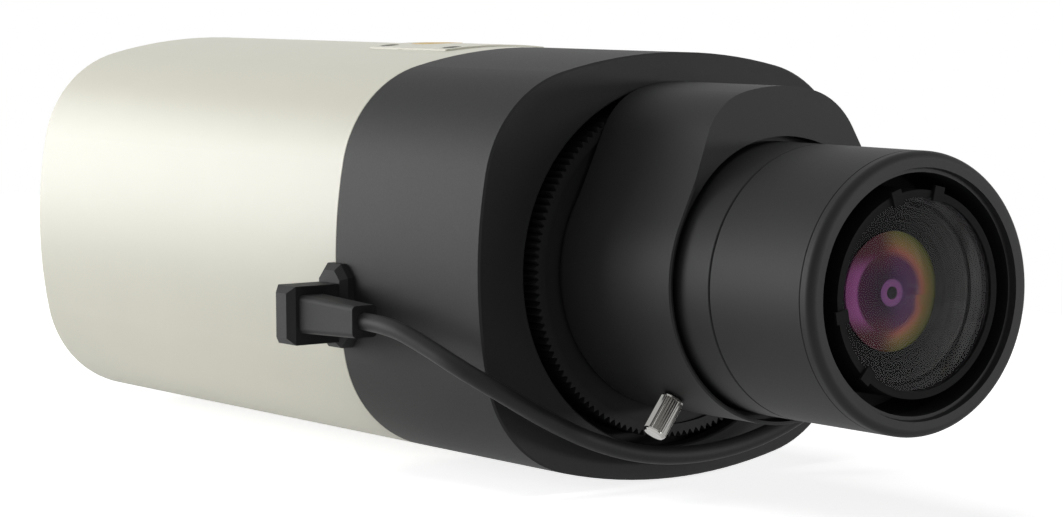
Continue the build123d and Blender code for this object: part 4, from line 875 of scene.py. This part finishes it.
rows = [(insert_radius, -insert_depth), (insert_radius, -edge), (insert_radius - edge, 0), (mouth_radius, 0)]
vertices, faces = [], []
for radius, high in rows:
    vertices += [(radius, 2 * pi * k / around, high) for k in range(around)]
for row in range(levels + 1):
    high = -thread_start - (bore_depth - thread_start) * row / levels
    vertices += [(thread_radius(k / around, high), 2 * pi * k / around, high) for k in range(around)]
count_rows = len(rows) + levels + 1
for row in range(count_rows - 1):
    for k in range(around):
        after = (k + 1) % around
        here, above_it = row * around, (row + 1) * around
        faces.append((here + k, here + after, above_it + after, above_it + k))
faces.append(tuple(range((count_rows - 1) * around, count_rows * around)))
faces.append(tuple(reversed(range(around))))
inserts = bpy.data.meshes.new("threaded_inserts")
shape = bmesh.new()
lower_mouth, upper_mouth = (corner[2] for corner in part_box("tripod_inserts"))
for sign, mouth in ((1, upper_mouth), (-1, lower_mouth)):
    turned = [
        shape.verts.new((r * cos(a) * MM, sign * r * sin(a) * MM, mouth + sign * h * MM))
        for r, a, h in vertices
    ]
    for face in faces:
        shape.faces.new([turned[i] for i in face])
bmesh.ops.recalc_face_normals(shape, faces=shape.faces)
shape.to_mesh(inserts)
shape.free()
inserts.shade_smooth()
inserts.set_sharp_from_angle(angle=radians(30))
inserts.materials.append(materials["brass"])
fit_in(as_object("threaded_inserts", inserts), "tripod_inserts")

# %% [markdown]
# The network jack's mouth shows eight spring contacts. One wire is bent once, from the roof
# of the mouth down and inwards, and the tree sets it eight times at the standard pitch.

# %% Contacts of the network jack
jack_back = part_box("network_jack")[1][1]
jack_middle, mouth_roof = -16.0, -5.2
contact_count, contact_pitch = 8, 1.02
wire = bpy.data.curves.new("contact_wire", "CURVE")
wire.dimensions = "3D"
wire_radius = 0.2
wire.bevel_depth = wire_radius * MM
wire.bevel_resolution = 2
wire.use_fill_caps = True
bend = wire.splines.new("POLY")
bend_points = ((-2.2, -0.15), (-2.5, -0.45), (-8.8, -3.0), (-9.6, -3.05), (-10.4, -2.8))
bend.points.add(len(bend_points) - 1)
for knot, (deep, low) in zip(bend.points, bend_points):
    knot.co = (0, deep * MM, low * MM, 1)
contact = settled(as_object("contact_wire", wire), "contact_wire")
contact_spots = []
for k in range(contact_count):
    sideways = jack_middle + contact_pitch * (k - (contact_count - 1) / 2)
    contact_spots.append((sideways * MM, jack_back, at(0, 0, mouth_roof).z))
contacts = repeat(contact_spots, on_points, "brass", "jack_contacts", Piece=contact)
bpy.data.objects.remove(contact)
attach(contacts, "root")
print("contacts", len(contact_spots))

# %% [markdown]
# The iris cable is the one soft thing here: a thin, limp lead that leaves the plug's
# sleeve, turns round the bezel's edge, passes under the lens and climbs its far side to a
# small rubber boot. A curve with a round bevel is the natural way to make it. Its line is
# a smooth NURBS spline whose control points are the corners of the model's cable.

# %% The iris cable
cable_radius = 1.4
relief_tilt = radians(25)
relief_length, approach = 6.0, 9.5
relief_direction = Vector((cos(relief_tilt), 0, -sin(relief_tilt)))
relief_tip = at(17.5, -18.5, 14.5) + relief_direction * relief_length * MM
cable_route = [
    at(-43.3, 21.4, -7.6),
    at(-43.3, 14.0, -7.6),
    at(-42.2, 6.2, -10.0),
    at(-40.9, -1.6, -13.0),
    at(-36.2, -5.6, -16.6),
    at(-27.6, -5.6, -21.6),
    at(-18.4, -5.2, -25.8),
    at(-8.6, -5.0, -28.5),
    at(1.6, -5.0, -29.2),
    at(11.6, -5.4, -27.9),
    at(20.4, -6.6, -24.4),
    at(27.4, -9.4, -18.2),
    at(32.0, -13.2, -9.8),
    at(34.2, -17.2, -0.6),
    relief_tip + relief_direction * approach * MM,
    relief_tip,
]
cable_curve = bpy.data.curves.new("iris_lead", "CURVE")
cable_curve.dimensions = "3D"
cable_curve.bevel_depth = cable_radius * MM
cable_curve.bevel_resolution = 6
cable_curve.use_fill_caps = True
cable_curve.resolution_u = 12
line = cable_curve.splines.new("NURBS")
line.points.add(len(cable_route) - 1)
for knot, place in zip(line.points, cable_route):
    knot.co = (*place, 1)
line.order_u = 3
line.use_endpoint_u = True
cable = as_object("iris_lead", cable_curve)
cable_curve.materials.append(materials["cable_black"])
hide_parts("iris_cable")
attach(cable, "root")
